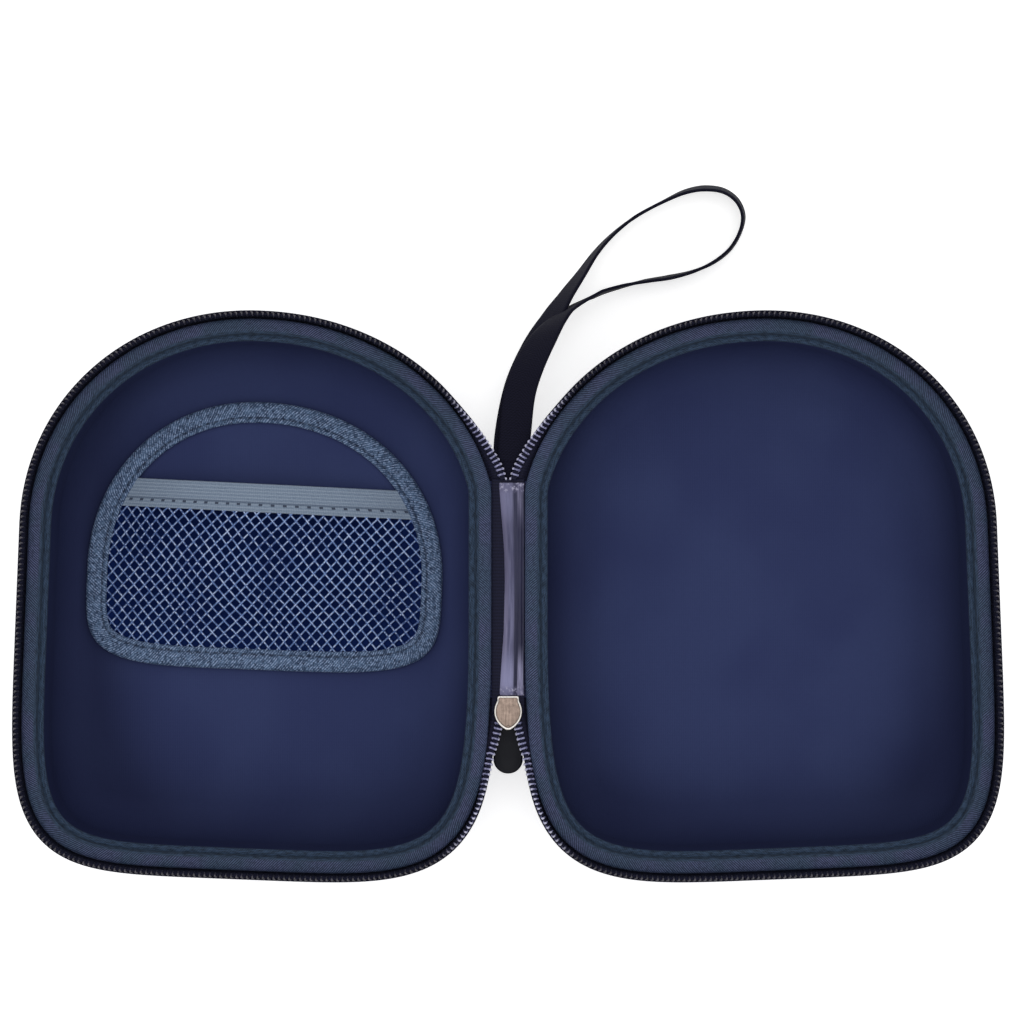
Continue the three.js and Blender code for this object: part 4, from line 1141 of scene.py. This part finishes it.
def pocket():
    loop = pocket_loop(240)
    rings = []
    for z, shares in ((POCKET_FLOOR, (0.2, 0.5, 0.8, 1)),
                      (POCKET_FLOOR + SHEET, (1, 0.95, 0.85, 0.7, 0.5, 0.3, 0.12))):
        edge = loop.at(-1.3, z)
        middle = edge.mean(0)
        rings += [middle + (edge - middle) * share for share in shares]
    backing = tube("pocket_back_jersey", rings, arc_length(np.array([r[0] for r in rings])), loop.run)
    dress(backing, MATERIALS["shaded_lining"], "lining", "base", "pocket_backing")
    dress(pocket_ring(), MATERIALS["trim"], "pocket_trim", "base", "pocket_edge_binding")
    band = pocket_band()
    dress(band, MATERIALS["elastic"], "pocket_trim", "base", "pocket_elastic_band")
    net = pocket_net()
    dress(net, MATERIALS["net"], "pocket_mesh", "base", "pocket_mesh")


# ---- slider and pull

def slider_outline():
    top = SLIDER_TOP_Y
    t = np.linspace(0, 1, 12)[1:]
    right = np.concatenate([
        [(3.3, top), (3.6, top - 0.3), (3.6, top - 1.6)],
        bezier((3.6, top - 1.6), (4.65, top - 3.4), (4.65, top - 5.4), t),
        bezier((4.65, top - 5.4), (4.4, top - 9.2), (0.7, top - 11.3), t),
    ])
    return np.concatenate([right, right[::-1] * (-1, 1)])


def smooth_outline(points, count, rounds=3):
    loop = Loop(points[::-1], -100, count)
    for _ in range(rounds):
        loop.xy = (np.roll(loop.xy, 1, axis=0) + 2 * loop.xy + np.roll(loop.xy, -1, axis=0)) / 4
    ahead = np.roll(loop.xy, -1, axis=0) - np.roll(loop.xy, 1, axis=0)
    loop.normal = unit(np.stack([ahead[:, 1], -ahead[:, 0]], -1))
    return loop


SHARE = 0.005  # a layered profile's place is a share of the loop's size above this, and else an offset


def layered(name, loop, profile):
    """A solid of rings around loop, one for each (place, height) of profile, closed at both ends."""
    rings = []
    middle = loop.xy.mean(0)
    for place, z in profile:
        if place > SHARE:
            rings.append(np.column_stack([middle + (loop.xy - middle) * place, np.full(len(loop.xy), z)]))
        else:
            rings.append(loop.at(place, z))
    return tube(name, rings, arc_length(np.array([r[0] for r in rings])), loop.run)


def swept(name, route, width_way, half_width, half_thick, closed=False):
    """A bar of rounded rectangular section along a route."""
    if closed:
        run = unit(np.roll(route, -1, axis=0) - np.roll(route, 1, axis=0))
    else:
        run = unit(np.gradient(route, axis=0))
    width_way = np.array(width_way, float)
    wide = unit(width_way - run * (run @ width_way)[:, None])
    a = around(16)
    rings = rings_about(route, wide, np.cross(run, wide), squared(np.cos(a), 0.45) * half_width,
                        squared(np.sin(a), 0.45) * half_thick)
    u = arc_length(np.vstack([route, route[:1]]) if closed else route)
    return tube(name, rings, u, np.linspace(0, 6, 17), closed)


def slider():
    loop = smooth_outline(slider_outline(), 200)
    top, low, base, under = (FOLD_Z + height for height in (2.4, 1.3, -1.3, -2.4))
    upper = layered("slider_top_plate", loop, [
        (0.02, low), (0.8, low), (0.96, low), (1, low + 0.2), (1, top - 0.3), (0.992, top - 0.14),
        (0.975, top - 0.04), (0.945, top), (0.91, top - 0.03), (0.88, top - 0.12), (0.866, top - 0.3),
        (0.864, top - 0.5)])
    panel = layered("slider_panel", loop, [(0.87, top - 0.6), (0.87, top - 0.3), (0.85, top - 0.26),
                                           (0.8, top - 0.24), (0.4, top - 0.22), (0.1, top - 0.22)])
    lower = layered("slider_bottom_plate", loop, [
        (0.02, under), (0.94, under), (0.985, under + 0.08), (1, under + 0.3), (1, base - 0.2), (0.96, base),
        (0.8, base), (0.02, base)])
    wedge_points = np.array([(0.6, -40.6), (1, -42.4), (0.9, -43.4), (0.5, -44.2), (-0.5, -44.2),
                             (-0.9, -43.4), (-1, -42.4), (-0.6, -40.6), (0, -39.4)])
    wedge = layered("slider_wedge", smooth_outline(wedge_points, 40, 1), [(0, base - 0.2), (0, low + 0.2)])
    a = around(24)[::-1]
    boss_points = np.column_stack([0.5 * np.cos(a), 0.5 * np.sin(a) - 43.6])
    boss = layered("slider_boss", smooth_outline(boss_points, 24, 0),
                   [(0, top - 0.4), (0, top - 0.16), (-0.12, top - 0.06), (-0.3, top - 0.02)])
    for piece in (upper, lower, wedge, boss, panel):
        dress(piece, MATERIALS["slider_rim" if piece is upper else "slider"], "slider_metal", "slider")
    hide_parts("slider_body")
    (_, y0, z0), (x1, y1, z1) = node_box("slider_bridge")
    half = [(0.5, z1 + 0.2), (0.5, z0 + 1.6), (0.9, z0 + 0.75), (1.8, z0 + 0.42)]
    path = [(0, y1 - inset, z) for inset, z in half] + [(0, y0 + inset, z) for inset, z in half[::-1]]
    bridge = swept("slider_bridge_loop", curve_points(path, 60), (1, 0, 0), x1, 0.45)
    dress(bridge, MATERIALS["slider"], "slider_metal", "slider", "slider_bridge")


def pull():
    """The pull is drawn flat about its pivot, then drooped and moved to it."""
    corners = np.array([(-2.6, 0), (2.6, 0), (2.6, -5.1), (-2.6, -5.1)])
    bend = 0.7
    route = []
    for before, corner, after in zip(np.roll(corners, 1, 0), corners, np.roll(corners, -1, 0)):
        back, ahead = (unit(other - corner) * bend for other in (before, after))
        route += bezier(corner + back, corner, corner + ahead, np.linspace(0, 1, 8)).tolist()
        route += (corner + ahead + (after - corner - 2 * ahead) * np.linspace(0, 1, 6)[1:-1, None]).tolist()
    route = np.column_stack([route, np.zeros(len(route))])
    link = swept("pull_link_wire", route, UP, 0.52, 0.55, closed=True)
    radius, centre = 4.95, -14.65  # of the grip's round end
    neck = [(2.6, -3.9), (3.1, -4.4), (3.6, -5.6), (4.3, -7.2), (4.8, -8.8), (radius, -10)]
    end = [(radius * math.cos(a), centre - radius * math.sin(a)) for a in np.linspace(0, math.pi, 30)]
    loop = smooth_outline(np.array(neck + end + [(-x, y) for x, y in neck[::-1]]), 160)
    below = [(0.02, -1.1), (0.3, -1.1), (-1.35, -1.1), (-1.15, -1.26), (-0.9, -1.3), (-0.5, -1.26),
             (-0.15, -1.05), (0, -0.65)]
    grip = layered("pull_grip_rubber", loop, below + [(place, -z) for place, z in below[::-1]])
    c, s = math.cos(math.radians(PULL_DROOP)), math.sin(math.radians(PULL_DROOP))
    turn = np.array([(1, 0, 0), (0, c, -s), (0, s, c)])
    for made, material, slot, node in ((link, "slider", "slider_metal", "pull_link"),
                                       (grip, "rubber", "pull_rubber", "pull_grip")):
        points = np.array([v.co[:] for v in made.data.vertices]) @ turn.T + np.array(PIVOT) * MM
        made.data.vertices.foreach_set("co", points.ravel())
        made.data.update()
        dress(made, MATERIALS[material], slot, "pull", node)


# ---- the scene

camera()
strap()
strap_root()
MATERIALS = {
    "outer": outer_fabric(),
    "lining": lining_fabric(),
    "shaded_lining": lining_fabric(shaded=True),
    "binding": binding_tape(),
    "trim": pocket_trim(),
    "elastic": elastic(),
    "net": mesh_thread(),
    "zipper_cloth": zipper_cloth(),
    "sewn_tape": zipper_cloth(sewn=True),
    "coil": coil_plastic(),
    "satin": satin(),
    "slider": slider_metal(),
    "slider_rim": slider_metal(bright=True),
    "rubber": rubber(),
}
surroundings()
half("base", -1)
half("lid", 1)
spine_fabric()
spine_satin()
pocket()
slider()
pull()
